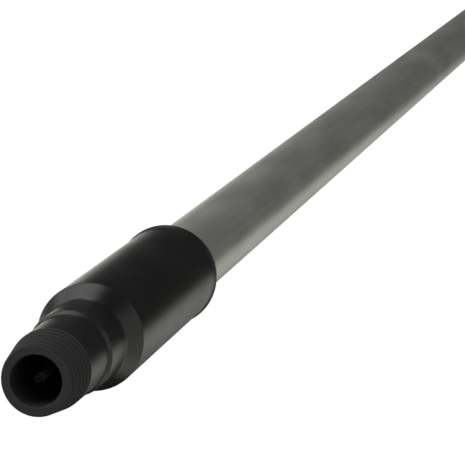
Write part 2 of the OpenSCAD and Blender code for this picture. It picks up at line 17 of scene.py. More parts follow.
import bpy
import numpy as np
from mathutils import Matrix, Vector

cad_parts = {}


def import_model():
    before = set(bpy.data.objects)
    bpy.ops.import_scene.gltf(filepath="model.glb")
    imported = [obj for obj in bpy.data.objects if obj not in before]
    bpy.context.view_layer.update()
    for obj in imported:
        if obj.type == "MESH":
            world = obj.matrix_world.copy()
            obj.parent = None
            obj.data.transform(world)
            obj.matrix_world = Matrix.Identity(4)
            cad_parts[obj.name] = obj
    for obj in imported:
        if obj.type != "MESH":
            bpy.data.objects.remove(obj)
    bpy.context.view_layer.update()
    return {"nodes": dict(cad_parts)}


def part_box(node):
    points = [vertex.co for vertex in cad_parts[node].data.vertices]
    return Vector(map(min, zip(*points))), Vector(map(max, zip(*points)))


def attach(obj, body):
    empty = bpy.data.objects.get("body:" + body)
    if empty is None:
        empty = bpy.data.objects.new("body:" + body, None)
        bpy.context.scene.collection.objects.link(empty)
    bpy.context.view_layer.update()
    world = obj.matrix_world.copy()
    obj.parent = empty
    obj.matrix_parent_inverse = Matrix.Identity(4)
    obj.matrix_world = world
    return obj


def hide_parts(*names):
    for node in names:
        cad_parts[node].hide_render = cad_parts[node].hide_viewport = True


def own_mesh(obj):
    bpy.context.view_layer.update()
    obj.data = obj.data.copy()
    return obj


Corner = tuple[float, float, float]
Colour = tuple[float, float, float]
Point = tuple[float, float, float]
Span = tuple[float, float]
Relief = Callable[[np.ndarray, np.ndarray, np.ndarray], np.ndarray]

LOG = logging.getLogger("extension_pole")
MM = 0.001
TINY = 1e-6
FULL_TURN = 2.0 * math.pi
NOISE_MIDDLE = 0.5
WHITE: Colour = (1.0, 1.0, 1.0)
BLACK: Colour = (0.0, 0.0, 0.0)
WEAR = "wear"
# Mask of matte surfaces such as the thread, and of the pin tip's painted shade.
DULL_AND_SHADE = "dull_and_shade"


class Slot(Enum):
    """The record's material slots."""

    NOZZLE = "nozzle_plastic"
    HEAD = "head_plastic"
    LOCK = "lock_plastic"
    TUBE = "tube_aluminium"
    GRIP = "grip_rubber"
    RUBBER = "rubber"
    STEEL = "spring_steel"
    BRASS = "brass"


class Body(Enum):
    """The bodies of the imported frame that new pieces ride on."""

    HEAD = "head_section"
    VALVE = "valve"
    NUT = "nut"
    HANDLE = "handle"


class Edge(float, Enum):
    """Roundings that many turned corners share.

    FLUSH meets a neighbour, SEAT carries a seal or a step, FIT sits on a tube, INNER lies in a
    pocket, and MOUTH rims a bore. BROKEN, EASED and SOFT are outer edges, from sharp to round.
    """

    FLUSH = 0.05
    SEAT = 0.1
    FIT = 0.15
    INNER = 0.2
    MOUTH = 0.3
    BROKEN = 0.4
    EASED = 0.5
    SOFT = 0.6


class Wire:
    """A value socket whose Python arithmetic adds Math nodes to its graph."""

    def __init__(self, graph: Graph, socket: bpy.types.NodeSocket) -> None:
        """Keeps the graph and the socket that the value comes from."""
        self.graph = graph
        self.socket = socket

    def __add__(self, other: Wire | float) -> Wire:
        """The sum of both values."""
        return self.graph.math("ADD", self, other)

    def __sub__(self, other: Wire | float) -> Wire:
        """This value less the other."""
        return self.graph.math("SUBTRACT", self, other)

    def __rsub__(self, other: float) -> Wire:
        """The other value less this one."""
        return self.graph.math("SUBTRACT", other, self)

    def __mul__(self, other: Wire | float) -> Wire:
        """The product of both values."""
        return self.graph.math("MULTIPLY", self, other)

    def __truediv__(self, other: Wire | float) -> Wire:
        """This value over the other."""
        return self.graph.math("DIVIDE", self, other)

    def __rtruediv__(self, other: float) -> Wire:
        """The other value over this one."""
        return self.graph.math("DIVIDE", other, self)

    __radd__ = __add__
    __rmul__ = __mul__

    def greatest(self, other: Wire | float) -> Wire:
        """The larger of both values."""
        return self.graph.math("MAXIMUM", self, other)

    def apart(self, other: Wire | float) -> Wire:
        """How far this value is from the other."""
        return self.graph.math("ABSOLUTE", self - other)

    def smooth(self, low: float, high: float) -> Wire:
        """A smooth step of this value.

        Args:
            low: Where it leaves 0.
            high: Where it reaches 1.

        Returns:
            The step.
        """
        sockets = {"Value": self, "From Min": low, "From Max": high}
        made = self.graph.node("MapRange", {"interpolation_type": "SMOOTHSTEP"}, sockets)
        return Wire(self.graph, made.outputs["Result"])

    def swing(self, width: float) -> Wire:
        """A noise's distance from its middle, times a width."""
        return (self - NOISE_MIDDLE) * width


class Graph:
    """A node tree that is written as Python expressions.

    The MIX numbers are the sockets of a Mix node that blends colours.
    """

    MIX_FACTOR, MIX_FIRST, MIX_SECOND, MIX_RESULT = 0, 6, 7, 2

    def __init__(self, tree: bpy.types.NodeTree) -> None:
        """Empties the tree and keeps it."""
        tree.nodes.clear()
        self.tree = tree

    def feed(self, socket: bpy.types.NodeSocket, value: Any) -> None:
        """Links a wire or an output to an input, or sets the input's own value.

        Args:
            socket: The input.
            value: A wire, an output socket, a number, a vector or a colour.
        """
        if isinstance(value, Wire):
            value = value.socket
        if isinstance(value, bpy.types.NodeSocket):
            self.tree.links.new(value, socket)
        elif isinstance(value, tuple) and socket.type == "RGBA":
            socket.default_value = (*value, 1.0)
        else:
            socket.default_value = value

    def node(
        self,
        kind: str,
        settings: dict[str, Any] | None = None,
        sockets: dict[str | int, Any] | None = None,
    ) -> bpy.types.Node:
        """Adds a node of any type.

        Args:
            kind: The node's type, without its ShaderNode prefix.
            settings: Properties of the node, which are set first.
            sockets: Values, wires or outputs for its inputs, by name or by index.

        Returns:
            The new node.
        """
        made = self.tree.nodes.new("ShaderNode" + kind)
        for key, value in (settings or {}).items():
            setattr(made, key, value)
        for key, value in (sockets or {}).items():
            self.feed(made.inputs[key], value)
        return made

    def math(self, operation: str, *values: Wire | float) -> Wire:
        """A Math node on one or two values."""
        made = self.node("Math", {"operation": operation}, dict(enumerate(values)))
        return Wire(self, made.outputs[0])

    def mix(self, factor: Wire, first: Any, second: Any) -> bpy.types.NodeSocket:
        """Blends two colours.

        Args:
            factor: 0 gives the first colour and 1 the second.
            first: A colour or the output of one.
            second: A colour or the output of one.

        Returns:
            The blended colour's output.
        """
        sockets = {self.MIX_FACTOR: factor, self.MIX_FIRST: first, self.MIX_SECOND: second}
        return self.node("Mix", {"data_type": "RGBA"}, sockets).outputs[self.MIX_RESULT]

    def blend(self, factor: Wire, first: bpy.types.Node, second: bpy.types.Node) -> bpy.types.Node:
        """Mixes two shaders, where a factor of 0 gives the first and 1 the second."""
        shaders = {0: factor, 1: first.outputs[0], 2: second.outputs[0]}
        return self.node("MixShader", {}, shaders)

    def place(self, stretch: Point = (1.0, 1.0, 1.0)) -> bpy.types.NodeSocket:
        """Object coordinates, multiplied by a factor for each axis."""
        source = self.node("TexCoord").outputs["Object"]
        return self.node("Mapping", {}, {"Vector": source, "Scale": stretch}).outputs[0]

    def noise(self, place: bpy.types.NodeSocket, size: float, detail: float) -> Wire:
        """Soft noise.

        Args:
            place: The coordinates that it is laid over.
            size: The size of its features in millimetres.
            detail: How many finer layers it has.

        Returns:
            The noise, which swings about NOISE_MIDDLE.
        """
        sockets = {"Vector": place, "Scale": 1.0 / (size * MM), "Detail": detail}
        return Wire(self, self.node("TexNoise", {}, sockets).outputs["Fac"])

    def attribute(self, name: str) -> Wire:
        """A number that the mesh holds at each vertex."""
        made = self.node("Attribute", {"attribute_name": name})
        return Wire(self, made.outputs["Fac"])

    def bump(self, height: Wire, depth: float) -> bpy.types.NodeSocket:
        """A normal that follows a height of the given depth in millimetres."""
        return self.node("Bump", {}, {"Height": height, "Distance": depth * MM}).outputs[0]

    def seen_rays(self) -> Wire:
        """Tells rays that show a background from rays that only light the object.

        Returns:
            1 for rays from the camera, a gloss or a clear piece, and 0 for all others.
        """
        path = self.node("LightPath").outputs
        names = ("Is Camera Ray", "Is Glossy Ray", "Is Transmission Ray")
        camera, glossy, clear = (Wire(self, path[name]) for name in names)
        return camera.greatest(glossy).greatest(clear)

    def surface(self, shader: bpy.types.Node, kind: str = "OutputMaterial") -> None:
        """Ends the tree with a shader."""
        self.node(kind, {}, {"Surface": shader.outputs[0]})


def new_graph(name: str) -> tuple[bpy.types.Material, Graph]:
    """Starts a material.

    Args:
        name: The material's name.

    Returns:
        The material and the empty graph of its node tree.
    """
    made = bpy.data.materials.new(name)
    made.use_nodes = True
    return made, Graph(made.node_tree)


class Finish:
    """What the finishes share: a material with one shader, which each of them feeds."""

    def inputs(self, graph: Graph) -> dict[str, Any]:
        """What feeds the shader, as each finish works it out."""
        raise NotImplementedError

    def material(self, name: str) -> bpy.types.Material:
        """Builds the material.

        Args:
            name: The material's name.

        Returns:
            The material.
        """
        made, graph = new_graph(name)
        graph.surface(graph.node("BsdfPrincipled", {}, self.inputs(graph)))
        return made


@dataclass(frozen=True)
class MouldedPlastic(Finish):
    """Moulded plastic: a fine grain, cloudy flow marks and paler worn edges.

    The grain is noise of grain_size that stands grain_depth high. Flow marks are a wider noise that
    moves colour and roughness, and the mesh's wear mask pales the edges in specks. Where the mesh's
    matte mask is 1, as on the thread, the surface goes over to dull_and_shade_colour and
    dull_roughness. On the pin the same mask marks the tip, where that colour is painted shade, a
    near-black metal that shaded_tip_metallic makes metallic, and the pin's paler colour elsewhere
    is painted light.
    """

    colour: Colour
    worn: Colour
    roughness: float
    specular: float
    grain_size: float
    grain_depth: float
    dull_and_shade_colour: Colour = (0.0205, 0.0212, 0.0208)
    dull_roughness: float = 0.7
    # Metallic value of the pin tip's painted shade; 0 where a finish doesn't set it.
    shaded_tip_metallic: float = 0.0
    flow_size: float = 30.0
    flow_detail: float = 4.0
    flow_edges: Span = (0.3, 0.7)
    flow_share: float = 0.25
    flow_rough: float = 0.16
    grain_detail: float = 3.0
    grain_rough: float = 0.08
    speck_grains: float = 6.0
    speck_detail: float = 4.0
    speck_edges: Span = (0.4, 0.65)
    wear_share: float = 0.35

    def inputs(self, graph: Graph) -> dict[str, Any]:
        """Works out what feeds the shader.

        Args:
            graph: The material's graph.

        Returns:
            A value or a link for each input, by the input's name.
        """
        place = graph.place()
        flow = graph.noise(place, self.flow_size, self.flow_detail)
        grain = graph.noise(place, self.grain_size, self.grain_detail)
        specks = graph.noise(place, self.grain_size * self.speck_grains, self.speck_detail)
        pale = tuple(c * (1.0 + self.flow_share) for c in self.colour)
        deep = tuple(c * (1.0 - self.flow_share) for c in self.colour)
        # Matte on the thread; painted shade on the pin's tip.
        dull_and_shade = graph.attribute(DULL_AND_SHADE)
        cloudy = graph.mix(flow.smooth(*self.flow_edges), deep, pale)
        clean = graph.mix(dull_and_shade, cloudy, self.dull_and_shade_colour)
        worn = graph.attribute(WEAR) * specks.smooth(*self.speck_edges) * self.wear_share
        rough = self.roughness + dull_and_shade * (self.dull_roughness - self.roughness)
        return {
            "Base Color": graph.mix(worn, clean, self.worn),
            "Metallic": dull_and_shade * self.shaded_tip_metallic,
            "Roughness": rough + flow.swing(self.flow_rough) + grain.swing(self.grain_rough),
            "Specular IOR Level": self.specular,
            "Normal": graph.bump(grain, self.grain_depth),
        }


@dataclass(frozen=True)
class DrawnMetal(Finish):
    """Metal with marks drawn out along the pole, faint mottling and brighter worn edges.

    The marks are noise stretched along Y by draw_stretch, so that they run with the pole. Streaks,
    which are wider marks, and clouds move the colour between shade and colour, and marks and clouds
    move the roughness.
    """

    colour: Colour
    shade: Colour
    roughness: float
    mark_size: float
    mark_depth: float
    draw_stretch: float
    metallic: float = 1.0
    mark_detail: float = 3.0
    mark_rough: float = 0.12
    streak_marks: float = 5.0
    streak_detail: float = 2.0
    streak_share: float = 0.4
    cloud_size: float = 14.0
    cloud_stretch: float = 4.0
    cloud_detail: float = 4.0
    cloud_share: float = 0.6
    cloud_rough: float = 0.14
    tone_edges: Span = (0.3, 0.7)
    worn_gain: float = 1.25
    wear_share: float = 0.5

    def inputs(self, graph: Graph) -> dict[str, Any]:
        """Works out what feeds the shader.

        Args:
            graph: The material's graph.

        Returns:
            A value or a link for each input, by the input's name.
        """
        drawn = graph.place((1.0, 1.0 / self.draw_stretch, 1.0))
        cloudy = graph.place((1.0, 1.0 / self.cloud_stretch, 1.0))
        marks = graph.noise(drawn, self.mark_size, self.mark_detail)
        streaks = graph.noise(drawn, self.mark_size * self.streak_marks, self.streak_detail)
        cloud = graph.noise(cloudy, self.cloud_size, self.cloud_detail)
        tone = (cloud * self.cloud_share + streaks * self.streak_share).smooth(*self.tone_edges)
        bright = tuple(min(1.0, c * self.worn_gain) for c in self.colour)
        worn = graph.attribute(WEAR) * self.wear_share
        rough = self.roughness + marks.swing(self.mark_rough) + cloud.swing(self.cloud_rough)
        return {
            "Base Color": graph.mix(worn, graph.mix(tone, self.shade, self.colour), bright),
            "Metallic": self.metallic,
            "Roughness": rough,
            "Normal": graph.bump(marks, self.mark_depth),
        }


@dataclass(frozen=True)
class SoftRubber(Finish):
    """Rubber: a pebbled skin, and a dusty bloom in patches and on worn edges.

    The pebbles are rounded cells that stand pebble_depth high. The bloom is the larger of a soft
    noise and the mesh's wear mask.
    """

    colour: Colour
    bloom: Colour
    roughness: float
    pebble_size: float
    pebble_depth: float
    specular: float = 0.3
    dust_size: float = 9.0
    dust_detail: float = 5.0
    dust_edges: Span = (0.45, 0.8)
    dust_rough: float = 0.12
    bloom_share: float = 0.5

    def inputs(self, graph: Graph) -> dict[str, Any]:
        """Works out what feeds the shader.

        Args:
            graph: The material's graph.

        Returns:
            A value or a link for each input, by the input's name.
        """
        place = graph.place()
        sockets = {"Vector": place, "Scale": 1.0 / (self.pebble_size * MM)}
        cells = graph.node("TexVoronoi", {"feature": "F1"}, sockets)
        pebbles = Wire(graph, cells.outputs["Distance"])
        dust = graph.noise(place, self.dust_size, self.dust_detail).smooth(*self.dust_edges)
        rubbed = dust.greatest(graph.attribute(WEAR)) * self.bloom_share
        return {
            "Base Color": graph.mix(rubbed, self.colour, self.bloom),
            "Roughness": self.roughness + dust * self.dust_rough,
            "Specular IOR Level": self.specular,
            "Normal": graph.bump(1.0 - pebbles, self.pebble_depth),
        }


FINISHES: dict[Slot, Finish] = {
    Slot.NOZZLE: MouldedPlastic(
        colour=(0.0096, 0.0102, 0.0099),
        worn=(0.05, 0.05, 0.048),
        roughness=0.34,
        specular=0.38,
        grain_size=0.35,
        grain_depth=0.012,
    ),
    Slot.HEAD: MouldedPlastic(
        colour=(0.0092, 0.0101, 0.0097),
        worn=(0.045, 0.045, 0.044),
        roughness=0.34,
        specular=0.5,
        grain_size=0.30,
        grain_depth=0.005,
    ),
    Slot.LOCK: MouldedPlastic(
        colour=(0.0165, 0.0165, 0.0161),
        worn=(0.05, 0.05, 0.048),
        roughness=0.46,
        specular=0.4,
        grain_size=0.45,
        grain_depth=0.014,
    ),
    Slot.TUBE: DrawnMetal(
        colour=(0.62, 0.625, 0.58),
        shade=(0.49, 0.493, 0.455),
        roughness=0.39,
        mark_size=0.22,
        mark_depth=0.003,
        draw_stretch=160.0,
        metallic=0.76,
    ),
    Slot.GRIP: SoftRubber(
        colour=(0.016, 0.016, 0.0157),
        bloom=(0.036, 0.036, 0.035),
        roughness=0.66,
        pebble_size=0.55,
        pebble_depth=0.05,
    ),
    Slot.RUBBER: SoftRubber(
        colour=(0.009, 0.009, 0.009),
        bloom=(0.024, 0.024, 0.023),
        roughness=0.5,
        pebble_size=0.25,
        pebble_depth=0.012,
    ),
    Slot.STEEL: DrawnMetal(
        colour=(0.60, 0.60, 0.60),
        shade=(0.48, 0.48, 0.485),
        roughness=0.28,
        mark_size=0.12,
        mark_depth=0.002,
        draw_stretch=60.0,
        cloud_size=4.0,
    ),
    Slot.BRASS: DrawnMetal(
        colour=(0.70, 0.51, 0.24),
        shade=(0.55, 0.38, 0.17),
        roughness=0.32,
        mark_size=0.15,
        mark_depth=0.003,
        draw_stretch=0.2,
        cloud_size=5.0,
    ),
}
# The pin is dark plastic. Its paler colour is painted light on its side deep in the bore, and its
# near-black metal tip is painted shade.
PIN_PAINTED_LIGHT_FINISH = MouldedPlastic(
    colour=(0.05, 0.055, 0.058),
    worn=(0.05, 0.055, 0.058),
    roughness=0.8,
    specular=0.5,
    grain_size=0.30,
    grain_depth=0.005,
    dull_and_shade_colour=(0.012, 0.0135, 0.014),
    dull_roughness=0.6,
    shaded_tip_metallic=1.0,
)


@dataclass(frozen=True)
class Extent:
    """Where a CAD node lies along the pole, and how far it reaches from the axis."""

    front: float
    back: float
    radius: float

    @classmethod
    def of(cls, node: str) -> Extent:
        """Reads a node's box from the frame."""
        low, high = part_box(node)
        return cls(low.y / MM, high.y / MM, high.x / MM)


@dataclass(frozen=True)
class Outline:
    """A closed outline in (radius, s), with a wear mask that is 1 on rounded outer edges.

    An arc takes at most ARC_SHARE of a side and a holding point HOLD_SHARE of it. Corners wear
    where they turn by more than LEAST_TURN radians, and points within LEAST_SIDE are one point.
    """

    ARC_SHARE = 0.45
    HOLD_SHARE = 0.1
    LEAST_TURN = 0.2
    LEAST_SIDE = 1e-4

    points: np.ndarray
    wear: np.ndarray

    @classmethod
    def rounded(cls, corners: Sequence[Corner], steps: int = 7, hold: float = 0.12) -> Outline:
        """Rounds the corners of a polygon that runs counter-clockwise.

        Each corner becomes an arc of its own radius that is tangent to both sides. A point is
        added at distance hold on either side of an arc, so that smooth shading doesn't spread over
        the flats. Wear rises and falls as half a sine wave over the arc of an outward corner.

        Args:
            corners: (radius, s, rounding) of each corner.
            steps: Segments of each arc.
            hold: Distance of the holding points from the arc.

        Returns:
            The outline.
        """
        table = np.array(corners, float)
        corner, rounding = table[:, :2], table[:, 2]
        ahead = np.roll(corner, -1, axis=0) - corner
        length = np.maximum(np.hypot(*ahead.T), TINY)
        after = ahead / length[:, None]
        before = np.roll(after, 1, axis=0)
        room = cls.ARC_SHARE * np.minimum(length, np.roll(length, 1))
        heading = np.arctan2(before[:, 1], before[:, 0])
        cross = before[:, 0] * after[:, 1] - before[:, 1] * after[:, 0]
        turn = np.arctan2(cross, (before * after).sum(1))
        half_tan = np.maximum(np.tan(np.abs(turn) / 2.0), TINY)
        cut = np.minimum(rounding * half_tan, room)
        radius = np.sign(turn) * cut / half_tan
        start = corner - before * cut[:, None]
        side = np.stack([-before[:, 1], before[:, 0]], 1)
        centre = start + side * radius[:, None]
        share = np.linspace(0.0, 1.0, steps + 1)
        angle = heading[:, None] + turn[:, None] * share
        swing = np.stack([np.sin(angle), -np.cos(angle)], 2)
        arcs = centre[:, None] + swing * radius[:, None, None]
        spare = cls.HOLD_SHARE * length
        held = np.where(cut > TINY, np.minimum(hold, spare), 0.0)[:, None]
        first = start - before * np.minimum(held, np.roll(spare, 1)[:, None])
        last = arcs[:, -1] + after * held
        points = np.concatenate([first[:, None], arcs, last[:, None]], 1)
        outer = np.where((turn > cls.LEAST_TURN) & (rounding > 0.0), 1.0, 0.0)[:, None]
        worn = np.pad(np.sin(np.pi * share), 1) * outer
        flat, wear = points.reshape(-1, 2), worn.reshape(-1)
        apart = np.hypot(*(flat - np.roll(flat, 1, axis=0)).T) > cls.LEAST_SIDE
        return cls(flat[apart], wear[apart])

    def refined(self, step: float, low: float, high: float, above: float) -> Outline:
        """Divides the sides that lie between two stations and above a radius.

        A side is cut into equal pieces, as few as keep each within step. The new points take a
        share of the way along the side and no wear.

        Args:
            step: Longest piece that a divided side is left with.
            low: First station.
            high: Last station.
            above: Radius above which sides are divided.

        Returns:
            The finer outline.
        """
        side = np.roll(self.points, -1, axis=0) - self.points
        middle = self.points + side / 2.0
        chosen = (middle[:, 1] > low) & (middle[:, 1] < high) & (middle[:, 0] > above)
        count = np.where(chosen, np.ceil(np.hypot(*side.T) / step), 1).astype(int)
        count = np.maximum(count, 1)
        place = np.arange(count.sum()) - np.repeat(np.cumsum(count) - count, count)
        share = (place / np.repeat(count, count))[:, None]
        points = np.repeat(self.points, count, axis=0) + share * np.repeat(side, count, axis=0)
        fade = np.repeat(self.wear, count) * (share[:, 0] < TINY)
        return Outline(points, fade)


def write_mask(mesh: bpy.types.Mesh, name: str, values: np.ndarray) -> None:
    """Stores a number for each vertex of a mesh.

    Args:
        mesh: The mesh.
        name: The name that materials read it by.
        values: One number per vertex.
    """
    mask = mesh.attributes.new(name, "FLOAT", "POINT")
    mask.data.foreach_set("value", values.astype(np.float32))


def places(piece: bpy.types.Object) -> np.ndarray:
    """Reads where the vertices of a piece lie.

    Args:
        piece: The piece.

    Returns:
        The vertices in millimetres, one row each.
    """
    flat = np.zeros(len(piece.data.vertices) * 3, np.float32)
    piece.data.vertices.foreach_get("co", flat)
    return flat.reshape(-1, 3) / MM


def mesh_piece(
    name: str, points: np.ndarray, faces: list[np.ndarray], wear: np.ndarray
) -> bpy.types.Object:
    """Writes arrays into a new mesh object with smooth faces.

    Args:
        name: The piece's name.
        points: Vertices in millimetres, one row each.
        faces: Arrays of faces, each with one row of vertex numbers per face.
        wear: The wear mask at each vertex.

    Returns:
        The object, which sits at the origin.
    """
    mesh = bpy.data.meshes.new(name)
    corner = np.concatenate([f.reshape(-1) for f in faces]).astype(np.int32)
    sides = np.concatenate([np.full(len(f), f.shape[1]) for f in faces])
    starts = np.cumsum(sides) - sides
    mesh.vertices.add(len(points))
    mesh.vertices.foreach_set("co", (points * MM).astype(np.float32).reshape(-1))
    mesh.loops.add(len(corner))
    mesh.loops.foreach_set("vertex_index", corner)
    mesh.polygons.add(len(sides))
    mesh.polygons.foreach_set("loop_start", starts.astype(np.int32))
    mesh.polygons.foreach_set("use_smooth", np.ones(len(sides), bool))
    write_mask(mesh, WEAR, wear)
    mesh.update(calc_edges=True)
    mesh.validate()
    made = bpy.data.objects.new(name, mesh)
    bpy.context.scene.collection.objects.link(made)
    return made


def ring_faces(rows: int, around: int) -> np.ndarray:
    """Numbers the four corners of each face of a grid that closes on itself both ways.

    The face at row i and column j has the corners (i, j), (i + 1, j), (i + 1, j + 1), (i, j + 1).

    Args:
        rows: Rings of vertices.
        around: Vertices of a ring.

    Returns:
        Vertex numbers by row, column and corner.
    """
    number = np.arange(rows * around).reshape(rows, around)
    above = np.roll(number, -1, axis=0)
    return np.stack([number, above, np.roll(above, -1, axis=1), np.roll(number, -1, axis=1)], 2)


def turned(
    name: str,
    outline: Outline,
    segments: int,
    relief: Relief | None = None,
    solid: bool = False,
) -> bpy.types.Object:
    """Turns an outline about the pole's axis.

    A vertex at outline point i and angle t is (r cos t, s, r sin t). The relief gives a new r from
    r, s and t, for threads, flutes and flats. A solid piece's outline starts and ends on the axis,
    and its two ends close in a fan of triangles.

    Args:
        name: The piece's name.
        outline: The outline, counter-clockwise in (radius, s).
        segments: Vertices of a full turn.
        relief: The radius as a function of radius, station and angle, as whole arrays.
        solid: Whether the outline starts and ends on the axis.

    Returns:
        The new object.
    """
    rows = outline.points[1:-1] if solid else outline.points
    wear = outline.wear[1:-1] if solid else outline.wear
    angle = np.arange(segments) * FULL_TURN / segments
    radius = np.repeat(rows[:, :1], segments, axis=1)
    station = np.repeat(rows[:, 1:], segments, axis=1)
    around = np.repeat(angle[None], len(rows), axis=0)
    if relief:
        radius = relief(radius, station, around)
    points = np.stack([radius * np.cos(around), station, radius * np.sin(around)], 2)
    points = points.reshape(-1, 3)
    rings = ring_faces(len(rows), segments)
    mask = np.repeat(wear, segments)
    if not solid:
        return mesh_piece(name, points, [rings.reshape(-1, 4)], mask)
    number, onward = rings[:, :, 0], rings[:, :, 3]
    front = np.full(segments, len(points))
    faces = [
        rings[:-1].reshape(-1, 4),
        np.stack([front, number[0], onward[0]], 1),
        np.stack([number[-1], front + 1, onward[-1]], 1),
    ]
    ends = outline.points[[0, -1], 1:] * np.array([0.0, 1.0, 0.0])
    mask = np.concatenate([mask, np.zeros(len(ends))])
    return mesh_piece(name, np.concatenate([points, ends]), faces, mask)


def swept(name: str, path: np.ndarray, wire: float, sides: int) -> bpy.types.Object:
    """Carries a circle along a path that winds about the pole's axis.

    The circle at each path point stands across the tangent. Its first direction points away from
    the pole's axis, and its second is the cross product of the two. The ends close in fans.

    Args:
        name: The piece's name.
        path: Points of the centre line.
        wire: Radius of the circle.
        sides: Vertices of the circle.

    Returns:
        The new object.
    """
    tangent = np.gradient(path, axis=0)
    tangent /= np.linalg.norm(tangent, axis=1, keepdims=True)
    outward = path * np.array([1.0, 0.0, 1.0])
    outward -= tangent * (outward * tangent).sum(1, keepdims=True)
    outward /= np.linalg.norm(outward, axis=1, keepdims=True)
    across = np.cross(tangent, outward)
    angle = np.arange(sides) * FULL_TURN / sides
    ring = np.cos(angle)[:, None] * outward[:, None] + np.sin(angle)[:, None] * across[:, None]
    points = (path[:, None] + wire * ring).reshape(-1, 3)
    rings = ring_faces(len(path), sides)
    number, onward = rings[:, :, 0], rings[:, :, 3]
    front = np.full(sides, len(points))
    faces = [
        rings[:-1, :, [0, 3, 2, 1]].reshape(-1, 4),
        np.stack([front, onward[0], number[0]], 1),
        np.stack([front + 1, number[-1], onward[-1]], 1),
    ]
    points = np.concatenate([points, path[[0, -1]]])
    return mesh_piece(name, points, faces, np.zeros(len(points)))


def oval_shoulder(r: float, s: float, across: float, along: float, steps: int) -> list[Corner]:
    """Corner points of a quarter of an oval about (r, s), for a shoulder that closes to the back.

    A point at angle a is (r + across cos a, s + along sin a), and a runs from 0 to a right angle.

    Args:
        r: Radius of the centre.
        s: Station of the centre.
        across: Half axis away from the pole.
        along: Half axis along the pole.
        steps: Segments of the arc.

    Returns:
        Corners without rounding.
    """
    angle = np.linspace(0.0, FULL_TURN / 4.0, steps + 1)
    points = np.stack([r + across * np.cos(angle), s + along * np.sin(angle), angle * 0.0], 1)
    return [tuple(row) for row in points]


def seal_groove(r: float, middle: float, seal_d: float, room: float, lip: float) -> list[Corner]:
    """Corner points of a ring seal's groove.

    Args:
        r: Radius of the surface that it is cut into.
        middle: Station of its middle.
        seal_d: Thickness of the seal, which is also the groove's depth.
        room: Free width on either side of the seal.
        lip: Rounding of its outer edges.

    Returns:
        Corners from front to back.
    """
    floor, half = r - seal_d, seal_d / 2.0 + room
    front, back = middle - half, middle + half
    root = Edge.INNER
    return [(r, front, lip), (floor, front, root), (floor, back, root), (r, back, lip)]


def soft_least(cut: np.ndarray, radius: np.ndarray, soft: float) -> np.ndarray:
    """The smaller of two radii, rounded where they cross.

    A share b runs from 0 to 1 as the cut rises past the radius, over a width of twice soft. The
    result goes from the cut to the radius by that share, less soft times b times 1 - b.

    Args:
        cut: Radius of a cut.
        radius: Radius of the surface.
        soft: Half the width of the rounding.

    Returns:
        The smooth minimum.
    """
    share = np.clip(0.5 + 0.5 * (cut - radius) / soft, 0.0, 1.0)
    return cut + (radius - cut) * share - soft * share * (1.0 - share)


@dataclass(frozen=True)
class ScrewThread:
    """A right-handed thread cut into a turned surface.

    Along the pole the thread's height is a triangle wave of the pitch, shifted by one pitch per
    turn. A smooth step between the root and crest shares rounds it, and it fades in and out at
    the ends.
    """

    start: float
    end: float
    pitch: float
    depth: float
    fade_in: float
    fade_out: float
    inside: float
    phase: float = 0.0
    root_share: float = 0.16
    crest_share: float = 0.86

    def relief(self, radius: np.ndarray, station: np.ndarray, angle: np.ndarray) -> np.ndarray:
        """Lowers the surface between the ridges.

        Args:
            radius: Radius of each vertex, which is the crest's.
            station: Place of each vertex along the pole.
            angle: Angle of each vertex about the pole.

        Returns:
            The new radii.
        """
        turns = (station - self.start) / self.pitch + angle / FULL_TURN + self.phase
        wave = 1.0 - np.abs(2.0 * (turns - np.floor(turns)) - 1.0)
        rise = np.clip((wave - self.root_share) / (self.crest_share - self.root_share), 0.0, 1.0)
        ridge = rise * rise * (3.0 - 2.0 * rise)
        inward = np.clip((station - self.start) / self.fade_in, 0.0, 1.0)
        outward = np.clip((self.end - station) / self.fade_out, 0.0, 1.0)
        cut = self.depth * (1.0 - ridge) * inward * outward
        return np.where(radius > self.inside, radius - cut, radius)


@dataclass
class SubAssembly:
    """What the pole's sub-assemblies share: dressing CAD nodes and taking in new pieces."""

    materials: dict[Slot, bpy.types.Material]
    nodes: dict[str, bpy.types.Object]

    def dress(self, slot: Slot, *nodes: str) -> None:
        """Gives CAD nodes that keep their own shape a finish.

        Args:
            slot: The finish's slot.
            nodes: Names of the nodes.
        """
        for node in nodes:
            kept = self.nodes[node]
            kept.data.materials.clear()
            kept.data.materials.append(self.materials[slot])
            LOG.info("%s: CAD node in %s", node, slot.value)

    def adopt(
        self,
        piece: bpy.types.Object,
        body: Body,
        slot: Slot,
        *nodes: str,
        finish: bpy.types.Material | None = None,
    ) -> None:
        """Lets a new piece ride on a body in the place of CAD nodes.

        Args:
            piece: The new object.
            body: The body that it moves with.
            slot: The record's slot of its finish.
            nodes: The CAD nodes that it stands for.
            finish: Its own material, where that departs from the slot's.
        """
        piece.data.materials.append(finish or self.materials[slot])
        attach(piece, body.value)
        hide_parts(*nodes)
        LOG.info("%s: %d faces in %s", piece.name, len(piece.data.polygons), slot.value)


